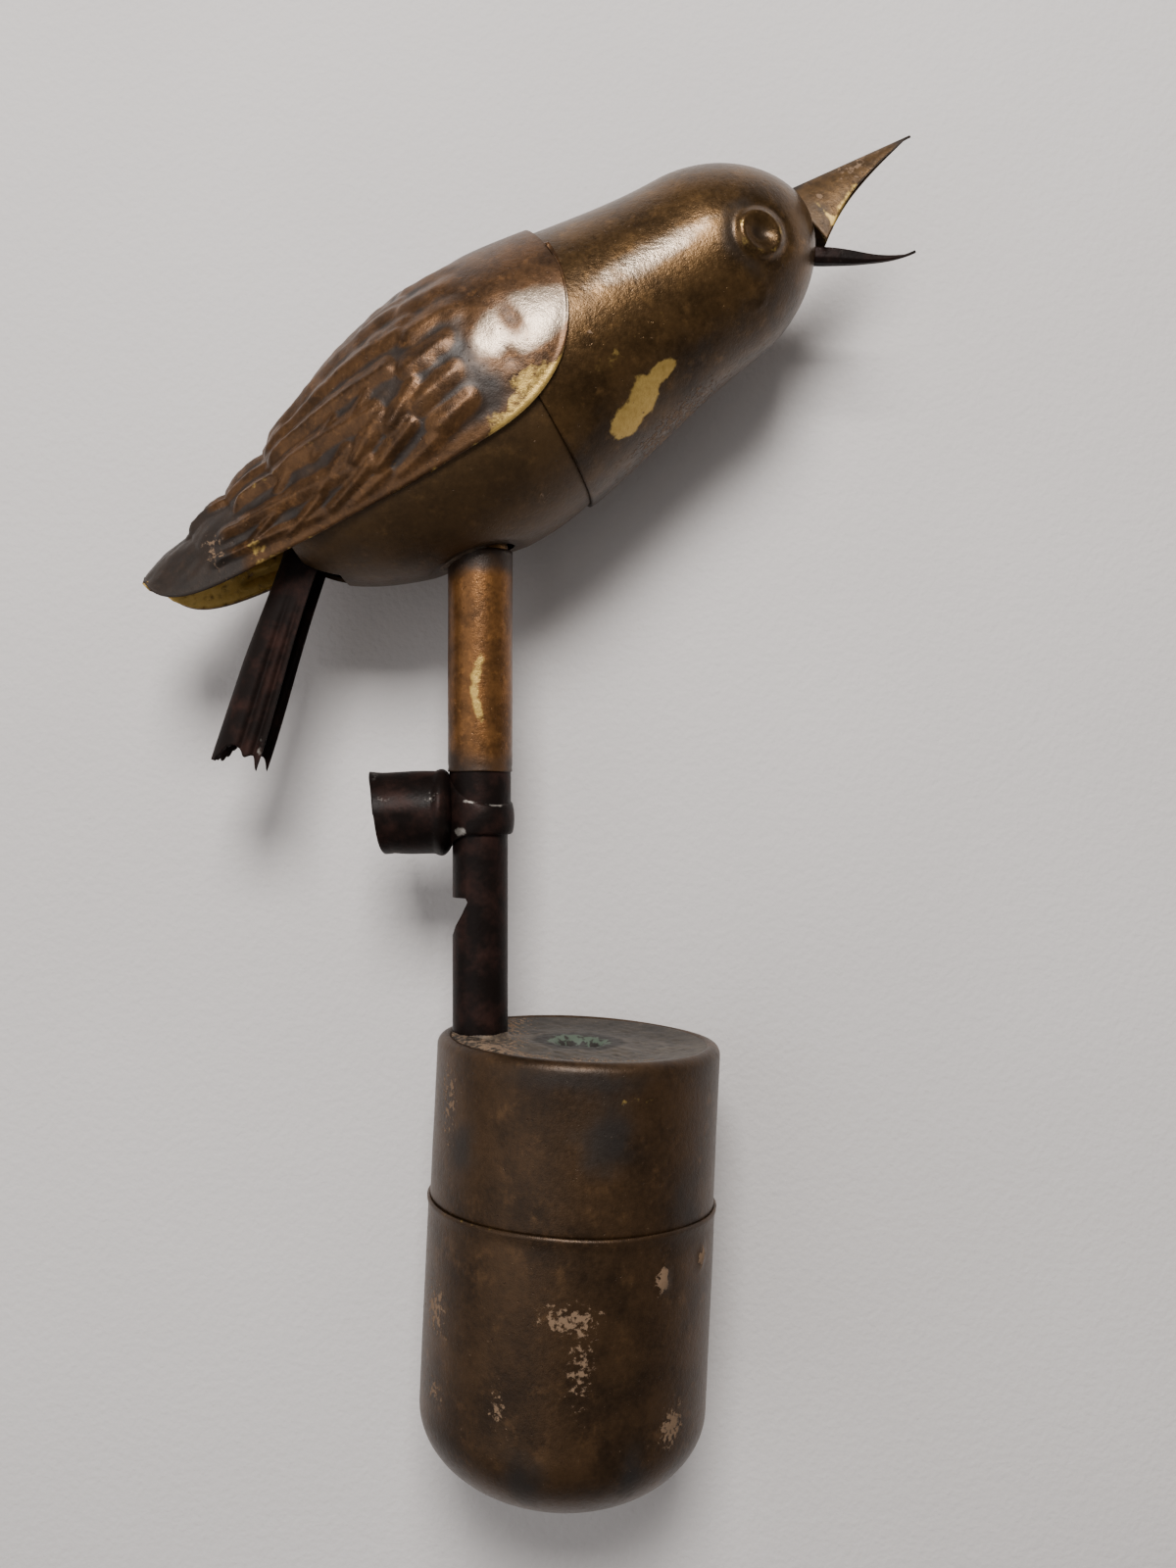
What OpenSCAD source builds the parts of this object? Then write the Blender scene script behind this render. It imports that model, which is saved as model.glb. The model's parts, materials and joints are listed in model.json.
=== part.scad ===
// Brass bird water whistle: a bird on a blow-pipe stem, over a water cup.
// The origin is on the cup's axis at its seam. The stem is parallel to Z. The bird faces +X.

/* [Bird] */
// Tilt of the body axis above the horizontal, degrees
body_tilt = 33; // [28:1:38]
// Height of the bird's nose tip above the cup's seam
nose_height = 104.33; // [103:0.1:106]
// Reach of the nose tip in front of the cup's axis
nose_reach = 24.48; // [23.5:0.1:25]
// Sheet thickness of the two body shells
shell_wall = 0.45; // [0.4:0.05:0.6]
// Distance from the nose to the seam between the shells
seam_t = 35.8; // [34:0.1:37]
// Distance from the nose to the open rear end
rear_t = 64.5; // [63:0.1:65]
// Sheet thickness of the wing cover
wing_wall = 0.5; // [0.4:0.05:0.6]
// How far the wing cover's centre line sits above the body's
wing_rise = 0.2; // [0:0.1:0.4]

/* [Beak] */
// Distance of the beak pivot behind the nose
beak_pivot_t = 8; // [7:0.1:9]
// Height of the beak pivot on the body axis (minus is below)
beak_pivot_v = -2; // [-2.4:0.1:-1.6]
// Length of the fixed upper beak
beak_len = 13.05; // [12:0.05:15]
// Width of the upper beak at the head
beak_w = 4.6; // [4:0.1:5]
// Width of the moving lower beak at its root
lower_beak_w = 1.6; // [1.2:0.1:1.8]

/* [Tail] */
// Distance of the tail pivot behind the nose
tail_pivot_t = 60.5; // [59.5:0.1:61]
// Height of the tail pivot on the body axis (minus is below)
tail_pivot_v = -0.3; // [-0.6:0.1:0]
// Angle at which the tail blade hangs, from the horizontal
tail_hang = 108.4; // [106:0.2:110]
// Length of the tail blade from its pivot
tail_len = 27; // [25:0.5:29]
// Outside radius of the tail channel
tail_r = 2.8; // [2.5:0.1:2.9]
// Swing of the tail and of the beak, degrees
swing = 36; // [30:1:38]

/* [Push rod] */
// Radius of the push rod
rod_r = 0.6; // [0.5:0.05:0.7]
// Height of the push rod on the body axis
rod_v = -1.5; // [-1.6:0.1:-1.4]
// Length of both crank arms
arm_len = 2.6; // [2.4:0.1:2.8]
// Radius of the crank pins
crank_r = 0.35; // [0.3:0.05:0.4]
// Radius of the two pivot pins
pin_r = 0.5; // [0.4:0.05:0.6]
// Running clearance on every pin and on the rod
run_gap = 0.05; // [0.03:0.01:0.08]

/* [Pipes] */
// Outside radius of the brass stem
stem_r = 3.4; // [3.3:0.05:3.6]
// Outside radius of the whistle tube
whistle_r = 2.92; // [2.85:0.01:3]
// Wall of the stem and of the whistle tube
pipe_wall = 0.48; // [0.4:0.02:0.5]
// Distance of the stem's axis behind the cup's axis
stem_back = 9.68; // [9.5:0.02:9.8]
// Level of the cup plate on the stem: stem levels count from here
stem_foot = 16.77; // [16.5:0.1:17]
// Level where the brass stem begins
stem_z = 28; // [27:0.1:29]
// Level of the mouth tube's axis
mouth_z = 23.65; // [23:0.05:24]
// Outside radius of the mouth tube
mouth_r = 4.5; // [4.2:0.1:4.8]
// Bore radius of the mouth tube
mouth_bore_r = 4.1; // [3.8:0.1:4.3]
// Reach of the mouth tube behind the stem axis
mouth_reach = 11.4; // [11:0.1:14]
// Level of the top edge of the whistle's window
window_z = 14.8; // [14:0.1:16]

/* [Cup] */
// Lean of the cup away from the stem's axis, degrees
cup_lean = 2.6; // [0:0.2:3]
// Outside radius of the lower cup
cup_r = 15.05; // [14.8:0.05:15.3]
// Outside radius of the upper band
band_r = 14.9; // [14.7:0.05:15]
// Sheet thickness of the cup
cup_wall = 0.4; // [0.3:0.05:0.45]
// Height of the band above the seam
band_h = 16.8; // [16:0.1:18]
// Depth of the cup below the seam
cup_depth = 31; // [29:0.2:34]
// Height of the domed part of the bottom
dome_h = 9.6; // [8:0.2:12]
// Radius of the filling hole
fill_r = 2.4; // [2.2:0.1:2.8]

/* [Hidden] */
$fn = 96;
eps = 0.01;
far = 60;

// Cup details
neck_h = 3;
shoulder_r = 1.2;
plate_t = 0.5;
plate_drop = 1.1;
plate_level = band_h - plate_drop;
lip_r = 13.65;
foot_x = -10.45;
foot_r = 3.9;
foot_top_r = 3.1;
foot_h = 1.3;

// The rear shell's lap inside the front shell
lap_r = 13.48;
lap_len = 1.4;
lap_tuck = 0.4;

// The raised ring about each eye: its bead, how far out it sits, and how it leans
eye_ring_r = 2.1;
eye_bead_r = 0.55;
eye_y = 8.95;
eye_turn = 20;
eye_lean = 102;

whistle_bore = whistle_r - pipe_wall;
whistle_foot = -28;
window_side = [[-4, 0], [-1.35, 0], [-1.14, 0.4], [-1.76, 1.7], [-2.5, 3], [-2.85, 4], [-4, 4]];
windway_h = 5;
windway_gap = 0.8;
stem_bore = whistle_r;
stem_lap = 4;
stem_top = 51.2;
sleeve_r = 3.25;
sleeve_z = 21.5;
collar_r = 3.57;
collar_top = 25.4;
port_r = 1.8;
mouth_lap = 0.4;
mouth_face = -collar_r + mouth_lap;
mouth_floor = -4.4;

belly_h = 4;
belly_reach = 1.2;
nozzle_r = stem_bore;
nozzle_wall = 0.6;
nozzle_bend = 4;
nozzle_start = stem_top - 3;
nozzle_turn = 90 + body_tilt;

// The upper beak, in its own frame: +X to the tip, +Z up
beak_root = [0.55, 0, -1.0];
beak_rise = 5.9;
beak_wall = 0.4;
beak_fold = 0.45;
beak_below = 3;
beak_tip_w = 0.2;
beak_brow = [-1.5, 3.8];
beak_chin = [-1.5, -3.6];
beak_edge = [[beak_len, 0], [9, -0.35], [4.5, -0.2], [-0.2, -3.0]];

// The lower beak's top and bottom lines, level with the ground, from its pivot
lower_top = [[6.8, 1.65], [11, 1.7], [13.5, 0.2], [17.5, 1.35]];
lower_bottom = [[17.5, 1.35], [15, 0], [10, -0.1], [6, 0.05]];
lower_root = [[0.4, -0.7], [0.4, 0.7]];
lower_tip_w = 0.5;
lower_tip_x = 17.6;
lower_taper_x = 6;

// The slot in the face, from the beak pivot: [distance behind it, height on the body axis]
beak_slot_side = [[0, -0.6], [-12, -7.6], [-12, 5.4], [0, 1.2]];
beak_slot_gap = 0.4;

hub_r = 1;
hub_w = 2.4;
arm_t = 0.6;
arm_r = 0.6;
arm_y = 0.5;
plate_y = 0.3;
slot_gap = 0.075;
half_swing = swing / 2;
rod_front_t = 12;
rod_rear_t = 56.5;
guide_t = [16, 40];
guide_size = [0.8, 40, 4];
vane_t = 54;
vane_size = [0.6, 6, 8.4];
vane_top = 1;
slot_pad = 1.2;
slot_len = 1.3;
slot_end = 0.7;

tail_wall = 0.4;
hub_len = 2 * (tail_r - tail_wall);
tail_side = -0.75;
tail_above = 1.2;
tail_centre = 0.3;
tail_flank = 2.1;

// The tail's side outline: its lower end from the longest lobe's tip up, then both long edges
tail_end = [[0, -3], [1.4, -1.9], [1.9, -0.8], [1.2, -0.5], [0.9, 0.3], [1.6, 0.9], [0.8, 1.3],
    [0, 2], [0.6, 2.45]];
tail_front = [[6, 2.2], [4, 1.2], [1.2, 1.9], [-tail_above, 1.9]];
tail_back = [[-tail_above, -1.5], [3, -3]];

// The gap below the rear end that the hanging tail needs
tail_gap_t = 62;
tail_gap_v = -2.5;
tail_gap = 0.3;

brass = "#8a6a3a";
dark_brass = "#5e4a30";
black_metal = "#2a2724";
solder = "#8f8778";

// Where the wing cover's tail ends, behind the nose
wing_end_t = 79.5;

// ---------- curves ----------

// Point at u on the cubic curve with control points p
function curve_point(p, u) =
    pow(1 - u, 3) * p[0] + 3 * u * pow(1 - u, 2) * p[1]
    + 3 * u * u * (1 - u) * p[2] + pow(u, 3) * p[3];

// The curve's points, its last one left for the curve that follows
function curve(p, steps = 8) = [for (i = [0:steps - 1]) curve_point(p, i / steps)];

// Points [radius, distance behind the nose] along the front shell
front_line = concat(
    curve([[0, 0], [4.7, 0], [9.8, 5.4], [10.5, 12]]),
    curve([[10.5, 12], [11, 20], [12.9, 26], [14.2, seam_t]]),
    [[14.2, seam_t]]);

// The same for the rear shell, up to its open end
rear_line = concat(
    curve([[13.8, seam_t], [14.6, 40], [14.1, 45], [12.7, 50]]),
    curve([[12.7, 50], [10.9, 57], [7, 65.8], [0, 66.2]]),
    [[0, 66.2]]);

// The same for the wing cover, about its own raised centre line
wing_line = concat(
    curve([[13, 26.2], [14.05, 31], [14.85, 36], [14.65, 41]]),
    curve([[14.65, 41], [14.4, 47], [12, 54], [9.55, 60]]),
    curve([[9.55, 60], [7.4, 65], [6.5, 73], [4.8, wing_end_t]]),
    [[4.8, wing_end_t]]);

// Side outline of the wing cover: [distance behind the nose, height on the body axis]
wing_side = concat(
    [[26.3, 20], [26.8, 8]],
    curve([[26.8, 8], [26.9, 1.5], [31, -5.4], [41, -5.3]]),
    curve([[41, -5.3], [52, -5.2], [60, -2.9], [70, -1.7]]),
    curve([[70, -1.7], [75, -1], [79.6, 0], [79.3, 4.2]]),
    [[79.3, 4.2], [79.2, 20]]);

function thinned(line, wall) = [for (p = line) [max(p[0] - wall, 0), p[1]]];

// ---------- frames ----------

// Body frame: +X forward along the body axis from the nose tip, +Z up from the back
module on_body()
    translate([nose_reach, 0, nose_height])
        rotate([0, -body_tilt, 0])
            children();

// A point on the body, t behind the nose and v above the axis
module at(t, v)
    on_body()
        translate([-t, 0, v])
            children();

module on_cup()
    rotate([0, cup_lean, 0])
        children();

module on_stem()
    translate([-stem_back, 0, stem_foot])
        children();

// Turns a [radius, distance] outline about the body axis
module turned(outline)
    rotate([0, -90, 0])
        rotate_extrude()
            polygon(outline);

// Thickens a [distance, height] side outline to a width about the body's middle plane
module side_plate(outline, width)
    rotate([90, 0, 0])
        linear_extrude(height = width, center = true)
            polygon([for (p = outline) [-p[0], p[1]]]);

module across(r, width)
    rotate([90, 0, 0])
        cylinder(r = r, h = width, center = true);

module pipe(r, bore, low, high)
    translate([0, 0, low])
        difference() {
            cylinder(r = r, h = high - low);
            translate([0, 0, -eps])
                cylinder(r = bore, h = high - low + 2 * eps);
        }

// ---------- body solids shared by several pieces ----------

module front_solid(wall = 0)
    turned(concat(thinned(front_line, wall), [[0, seam_t]]));

module rear_solid(wall = 0, ahead = 0)
    turned(concat([[0, seam_t - ahead], [rear_line[0][0] - wall, seam_t - ahead]],
        thinned(rear_line, wall)));

module body_solid() {
    front_solid();
    rear_solid();
}

module cavity() {
    translate([-shell_wall, 0, 0])
        front_solid(shell_wall);
    rear_solid(shell_wall);
}

module stem_outside()
    on_stem()
        cylinder(r = stem_r, h = far);

module whistle_outside()
    on_stem()
        cylinder(r = whistle_r, h = far, center = true);

// ---------- cup ----------

module reservoir_cup()
    color(dark_brass)
        on_cup()
            rotate_extrude()
                difference() {
                    cup_section(0);
                    cup_section(cup_wall);
                }

// Half section of the cup, drawn in by wall
module cup_section(wall) {
    w = cup_r - wall;
    top = wall > 0 ? eps : 0;
    steps = 16;
    polygon(concat(
        [[0, top], [w, top]],
        [for (i = [0:steps])
            [w * cos(90 * i / steps),
             dome_h - cup_depth - (dome_h - wall) * sin(90 * i / steps)]]));
}

module reservoir_band()
    color(dark_brass)
        difference() {
            on_cup()
                rotate_extrude()
                    band_section();
            whistle_outside();
        }

// Half section of the band: a neck that slips into the cup, a wall and a rolled shoulder
module band_section() {
    neck = cup_r - cup_wall;
    inner = band_r - cup_wall;
    union() {
        translate([neck - cup_wall, -neck_h])
            square([cup_wall, neck_h + eps]);
        translate([neck - cup_wall, 0])
            square([band_r - neck + cup_wall, cup_wall]);
        translate([inner, 0])
            square([cup_wall, band_h - shoulder_r]);
        intersection() {
            translate([band_r - shoulder_r, band_h - shoulder_r])
                difference() {
                    circle(r = shoulder_r);
                    circle(r = shoulder_r - cup_wall);
                }
            translate([band_r - shoulder_r, band_h - shoulder_r])
                square(shoulder_r + eps);
        }
        translate([lip_r, plate_level])
            square([cup_wall, band_h - cup_wall - plate_level]);
        translate([lip_r, band_h - cup_wall])
            square([band_r - shoulder_r - lip_r + eps, cup_wall]);
    }
}

module top_plate()
    color(dark_brass)
        difference() {
            on_cup()
                translate([0, 0, plate_level - plate_t])
                    difference() {
                        cylinder(r = band_r - cup_wall, h = plate_t);
                        translate([0, 0, -eps])
                            cylinder(r = fill_r, h = plate_t + 2 * eps);
                    }
            whistle_outside();
        }

module tube_foot_solder()
    color(solder)
        difference() {
            on_cup()
                intersection() {
                    translate([foot_x, 0, plate_level])
                        cylinder(r1 = foot_r, r2 = foot_top_r, h = foot_h);
                    cylinder(r = lip_r, h = far);
                }
            whistle_outside();
        }

// ---------- pipes ----------

module whistle_tube()
    color(black_metal)
        on_stem()
            difference() {
                pipe(whistle_r, whistle_bore, whistle_foot, stem_z + stem_lap);
                window_cut();
                port();
            }

// The whistle's window: a square top edge and a slanted lip
module window_cut()
    rotate([90, 0, 0])
        linear_extrude(height = far, center = true)
            polygon([for (p = window_side) [p[0], window_z - p[1]]]);

module port()
    translate([0, 0, mouth_z])
        rotate([0, -90, 0])
            cylinder(r = port_r, h = far);

module windway_block()
    color(black_metal)
        on_stem()
            difference() {
                translate([0, 0, window_z])
                    cylinder(r = whistle_bore, h = windway_h);
                translate([-far - whistle_bore + windway_gap, -far / 2, 0])
                    cube(far);
            }

module tee_sleeve()
    color(black_metal)
        on_stem()
            difference() {
                pipe(sleeve_r, whistle_r, sleeve_z, stem_z);
                port();
            }

module saddle_collar()
    color(black_metal)
        on_stem()
            difference() {
                pipe(collar_r, sleeve_r, sleeve_z, collar_top);
                port();
            }

module mouth_tube()
    color(black_metal)
        on_stem()
            difference() {
                translate([-mouth_reach, 0, mouth_z])
                    rotate([0, 90, 0])
                        cylinder(r = mouth_r, h = mouth_reach + mouth_face);
                translate([-mouth_reach - eps, 0, mouth_z])
                    rotate([0, 90, 0])
                        cylinder(r = mouth_bore_r, h = mouth_reach + mouth_floor + eps);
                cylinder(r = sleeve_r, h = far);
                pipe(collar_r, 0, sleeve_z, collar_top);
                port();
            }

module stem_tube()
    color(brass)
        on_stem()
            pipe(stem_r, stem_bore, stem_z, stem_top);

module belly_collar()
    color(solder)
        difference() {
            intersection() {
                on_stem()
                    translate([0, 0, stem_top - belly_h])
                        cylinder(r = stem_r + belly_reach, h = belly_h);
                on_body()
                    cavity();
            }
            stem_outside();
        }

module air_nozzle()
    color(brass)
        on_stem()
            translate([0, 0, stem_top]) {
                pipe(nozzle_r, nozzle_r - nozzle_wall, nozzle_start - stem_top, 0);
                translate([-nozzle_bend, 0, 0])
                    rotate([90, 0, 0])
                        rotate_extrude(angle = nozzle_turn)
                            translate([nozzle_bend, 0])
                                difference() {
                                    circle(r = nozzle_r);
                                    circle(r = nozzle_r - nozzle_wall);
                                }
            }

// ---------- bird ----------

module front_shell()
    color(brass)
        on_body()
            difference() {
                union() {
                    front_solid();
                    eye_ring();
                    mirror([0, 1, 0])
                        eye_ring();
                }
                translate([-shell_wall, 0, 0])
                    front_solid(shell_wall);
                beak_slot();
            }

// Raised ring about the eye, leaning with the curve of the head
module eye_ring()
    translate([-beak_pivot_t, -eye_y, beak_pivot_v])
        rotate([0, 0, eye_turn])
            rotate([eye_lean, 0, 0])
                rotate_extrude()
                    translate([eye_ring_r, 0])
                        circle(r = eye_bead_r, $fn = 32);

// Opening in the face that the lower beak swings in
module beak_slot()
    translate([-beak_pivot_t, 0, beak_pivot_v])
        side_plate(beak_slot_side, lower_beak_w + 2 * beak_slot_gap);

module rear_shell()
    color(dark_brass) {
        difference() {
            on_body()
                difference() {
                    rear_solid();
                    rear_solid(shell_wall, 1);
                    tail_opening();
                }
            stem_outside();
        }
        on_body()
            seam_lap();
    }

// The part of the rear shell tucked inside the front one
module seam_lap()
    translate([-seam_t - lap_tuck, 0, 0])
        rotate([0, 90, 0])
            pipe(lap_r, lap_r - shell_wall, 0, lap_len);

// Open rear end, and the gap below it that the hanging tail needs
module tail_opening() {
    translate([-rear_t - far, -far / 2, -far / 2])
        cube(far);
    translate([-tail_gap_t - far, -tail_r - tail_gap, -far + tail_gap_v])
        cube([far, 2 * (tail_r + tail_gap), far]);
}

module wing_cover()
    color(brass)
        on_body()
            difference() {
                intersection() {
                    translate([0, 0, wing_rise])
                        difference() {
                            turned(concat([[0, wing_line[0][1]]], wing_line, [[0, wing_end_t]]));
                            turned(concat([[0, 0]], thinned(wing_line, wing_wall), [[0, far * 2]]));
                        }
                    side_plate(wing_side, far);
                }
                body_solid();
            }

module upper_beak()
    color(brass)
        difference() {
            on_beak()
                difference() {
                    beak_wedge(beak_w, 0);
                    translate([-eps, 0, -beak_fold])
                        beak_wedge(beak_w - 2 * beak_wall, beak_below);
                }
            on_body()
                front_solid();
        }

// Beak frame: +X from the middle of the beak's root to its tip
module on_beak()
    on_body()
        translate(beak_root)
            rotate([0, -beak_rise, 0])
                children();

// Tapering beak of the given root width, its lower edge dropped by extra
module beak_wedge(width, extra)
    intersection() {
        rotate([90, 0, 0])
            linear_extrude(height = width, center = true)
                polygon(concat([beak_brow, [beak_len, 0]],
                    [for (p = concat(curve(beak_edge), [beak_chin])) [p[0], p[1] - extra]]));
        translate([0, 0, -far / 2])
            linear_extrude(height = far)
                polygon([[beak_brow[0], -width / 2], [0, -width / 2], [beak_len, -beak_tip_w / 2],
                    [beak_len, beak_tip_w / 2], [0, width / 2], [beak_brow[0], width / 2]]);
    }

module beak_pivot_pin()
    color(brass)
        on_body()
            intersection() {
                cavity();
                translate([-beak_pivot_t, 0, beak_pivot_v])
                    across(pin_r, far);
            }

module tail_pivot_pin()
    color(brass)
        on_body()
            intersection() {
                cavity();
                translate([-tail_pivot_t, 0, tail_pivot_v])
                    across(pin_r, far);
            }

module guide(t)
    color(brass)
        on_body()
            difference() {
                intersection() {
                    cavity();
                    translate([-t, 0, rod_v])
                        cube(guide_size, center = true);
                }
                translate([-t, 0, rod_v])
                    rotate([0, 90, 0])
                        cylinder(r = rod_r + run_gap, h = far, center = true);
            }

module front_guide() guide(guide_t[0]);

module rear_guide() guide(guide_t[1]);

// ---------- moving beak ----------

module lower_beak()
    color(black_metal)
        difference() {
            at(beak_pivot_t, beak_pivot_v)
                rotate([0, body_tilt, 0])
                    intersection() {
                        rotate([90, 0, 0])
                            linear_extrude(height = lower_beak_w, center = true)
                                polygon(concat(curve(lower_top), curve(lower_bottom),
                                    [lower_bottom[3]], lower_root));
                        translate([0, 0, -far / 2])
                            linear_extrude(height = far)
                                polygon([[0, -lower_beak_w / 2],
                                    [lower_taper_x, -lower_beak_w / 2],
                                    [lower_tip_x, -lower_tip_w / 2],
                                    [lower_tip_x, lower_tip_w / 2],
                                    [lower_taper_x, lower_beak_w / 2],
                                    [0, lower_beak_w / 2]]);
                    }
            at(beak_pivot_t, beak_pivot_v)
                across(hub_r, far);
        }

module hub(width)
    difference() {
        across(hub_r, width);
        across(pin_r + run_gap, far);
    }

// Flat arm from a hub to its crank pin, along +Z, on the near side of the slot plate
module crank_arm()
    difference() {
        translate([0, -arm_y - arm_t / 2, 0])
            union() {
                translate([-arm_r, -arm_t / 2, 0])
                    cube([2 * arm_r, arm_t, arm_len]);
                translate([0, 0, arm_len])
                    across(arm_r, arm_t);
            }
        across(hub_r, far);
        translate([0, 0, arm_len])
            across(crank_r, far);
    }

module crank_pin()
    translate([0, -arm_t / 2, arm_len])
        across(crank_r, 2 * arm_y + arm_t);

module beak_hub()
    color(black_metal)
        at(beak_pivot_t, beak_pivot_v)
            hub(hub_w);

module on_beak_arm()
    at(beak_pivot_t, beak_pivot_v)
        rotate([0, half_swing, 0])
            children();

module beak_arm()
    color(black_metal)
        on_beak_arm()
            crank_arm();

module beak_crank_pin()
    color(brass)
        on_beak_arm()
            crank_pin();

// ---------- moving tail ----------

// Tail frame: +X from the pivot along the hanging blade, +Z towards the stem
module on_tail()
    at(tail_pivot_t, tail_pivot_v)
        rotate([0, body_tilt + tail_hang, 0])
            children();

module tail_blade()
    color(black_metal)
        difference() {
            on_tail()
                translate([0, 0, tail_side])
                    intersection() {
                        translate([-tail_above, 0, 0])
                            rotate([90, 0, 90])
                                linear_extrude(height = tail_len + tail_above)
                                    difference() {
                                        channel(tail_r);
                                        channel(tail_r - tail_wall, 1);
                                    }
                        rotate([90, 0, 0])
                            linear_extrude(height = far, center = true)
                                tail_outline();
                    }
            at(tail_pivot_t, tail_pivot_v) {
                across(pin_r + run_gap, far);
                across(hub_r, hub_len);
            }
        }

// Round-backed channel section, its open side towards +Y
module channel(r, extra = 0)
    translate([0, tail_centre]) {
        circle(r = r);
        translate([-r, 0])
            square([2 * r, tail_flank + extra]);
    }

// Side outline of the blade: a broken rear lobe, a short middle one and a long front one
module tail_outline()
    polygon(concat([for (p = tail_end) [tail_len - p[0], p[1]]], tail_front, tail_back));

module tail_hub()
    color(black_metal)
        at(tail_pivot_t, tail_pivot_v)
            hub(hub_len);

module on_tail_arm()
    at(tail_pivot_t, tail_pivot_v)
        rotate([0, 180 - half_swing, 0])
            children();

module tail_arm()
    color(black_metal)
        on_tail_arm()
            crank_arm();

module tail_crank_pin()
    color(brass)
        on_tail_arm()
            crank_pin();

// ---------- push rod ----------

module push_rod()
    color(brass)
        at(rod_rear_t, rod_v)
            rotate([0, 90, 0])
                cylinder(r = rod_r, h = rod_rear_t - rod_front_t);

module air_vane()
    color(brass)
        difference() {
            at(vane_t, rod_v)
                translate([-vane_size[0], -vane_size[1] / 2, vane_top - vane_size[2]])
                    cube(vane_size);
            push_rod();
        }

// Plate at a rod end with the slot for a crank pin, side = 1 above the rod, -1 below
module slot_plate(pivot_t, pivot_v, rod_t, side) {
    reach = arm_len * (1 + cos(half_swing)) / 2;
    slot_t = pivot_t - arm_len * sin(half_swing);
    slot_v = pivot_v + side * reach;
    on_body()
        difference() {
            side_plate([[slot_t - slot_pad, slot_v - slot_pad], [slot_t + slot_pad, slot_v - slot_pad],
                [slot_t + slot_pad, slot_v + slot_pad], [slot_t - slot_pad, slot_v + slot_pad]],
                2 * plate_y);
            translate([-slot_t, 0, slot_v])
                cube([2 * (crank_r + slot_gap), far, slot_len], center = true);
        }
    on_body()
        side_plate([[slot_t + side * slot_pad, slot_v - slot_pad],
            [slot_t + side * slot_pad, slot_v + slot_pad],
            [rod_t, rod_v + slot_end], [rod_t, rod_v - slot_end]], 2 * plate_y);
}

module front_slot_plate()
    color(brass)
        slot_plate(beak_pivot_t, beak_pivot_v, rod_front_t, 1);

module rear_slot_plate()
    color(brass)
        slot_plate(tail_pivot_t, tail_pivot_v, rod_rear_t, -1);

reservoir_cup();
reservoir_band();
top_plate();
tube_foot_solder();
whistle_tube();
windway_block();
tee_sleeve();
saddle_collar();
mouth_tube();
stem_tube();
belly_collar();
air_nozzle();
rear_shell();
front_shell();
wing_cover();
upper_beak();
beak_pivot_pin();
tail_pivot_pin();
front_guide();
rear_guide();
lower_beak();
beak_hub();
beak_arm();
beak_crank_pin();
tail_blade();
tail_hub();
tail_arm();
tail_crank_pin();
push_rod();
air_vane();
front_slot_plate();
rear_slot_plate();
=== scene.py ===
"""Looks of the brass bird water whistle, laid out as an add-on and run as a script."""

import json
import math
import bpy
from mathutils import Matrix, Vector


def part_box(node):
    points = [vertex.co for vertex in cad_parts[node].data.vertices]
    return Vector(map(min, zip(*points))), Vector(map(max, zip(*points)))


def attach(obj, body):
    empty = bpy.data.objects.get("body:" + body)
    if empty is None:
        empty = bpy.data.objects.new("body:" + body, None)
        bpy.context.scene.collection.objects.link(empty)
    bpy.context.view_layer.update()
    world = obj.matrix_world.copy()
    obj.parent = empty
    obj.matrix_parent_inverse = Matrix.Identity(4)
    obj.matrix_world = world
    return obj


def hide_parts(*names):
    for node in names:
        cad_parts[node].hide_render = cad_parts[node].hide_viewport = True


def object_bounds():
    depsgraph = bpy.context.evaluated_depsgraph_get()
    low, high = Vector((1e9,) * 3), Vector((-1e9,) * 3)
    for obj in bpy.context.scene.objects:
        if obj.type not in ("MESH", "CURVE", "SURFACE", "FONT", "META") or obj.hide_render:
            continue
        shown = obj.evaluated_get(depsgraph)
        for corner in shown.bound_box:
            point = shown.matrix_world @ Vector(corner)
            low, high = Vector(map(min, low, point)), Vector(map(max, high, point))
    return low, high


bl_info = {
    "name": "Bird Water Whistle",
    "version": (1, 0, 0),
    "blender": (4, 5, 0),
    "location": "View3D > Sidebar > Bird Whistle",
    "description": "Builds the tarnished brass skin of a bird water whistle over its CAD frame",
    "category": "Add Mesh",
}

from types import SimpleNamespace

import bmesh
import bpy
import numpy as np
from bpy.props import FloatProperty, FloatVectorProperty, IntProperty, PointerProperty
from mathutils import Vector

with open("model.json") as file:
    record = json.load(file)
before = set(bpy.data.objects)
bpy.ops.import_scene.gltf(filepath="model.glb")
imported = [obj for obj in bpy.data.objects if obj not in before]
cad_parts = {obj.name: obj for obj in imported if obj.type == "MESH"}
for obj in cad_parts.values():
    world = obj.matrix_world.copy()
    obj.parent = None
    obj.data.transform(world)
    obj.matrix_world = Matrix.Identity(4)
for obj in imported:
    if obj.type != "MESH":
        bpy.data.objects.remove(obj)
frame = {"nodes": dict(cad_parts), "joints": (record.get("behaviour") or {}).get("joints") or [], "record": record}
CAD_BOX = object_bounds()
MM = 0.001

# ---------------------------------------------------------------- frames of reference

JOINTS = {joint["name"]: joint for joint in frame["joints"]}
MOUNTS = {mount["name"]: mount for mount in frame["record"]["mounts"]}

# The body axis runs the way the push rod slides; heights on it count towards the bird's back
BACK = np.array(JOINTS["rod_slide"]["axis"], float)
RISE = np.array([BACK[2], 0.0, -BACK[0]])
NEAR = np.array([0.0, -1.0, 0.0])
BEAK_PIVOT = np.array(JOINTS["beak_hinge"]["pos_m"], float)
TAIL_PIVOT = np.array(JOINTS["tail_hinge"]["pos_m"], float)
PIVOT_T, PIVOT_V = 8.0, -2.0
NOSE = BEAK_PIVOT - PIVOT_T * MM * BACK - PIVOT_V * MM * RISE

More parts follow.
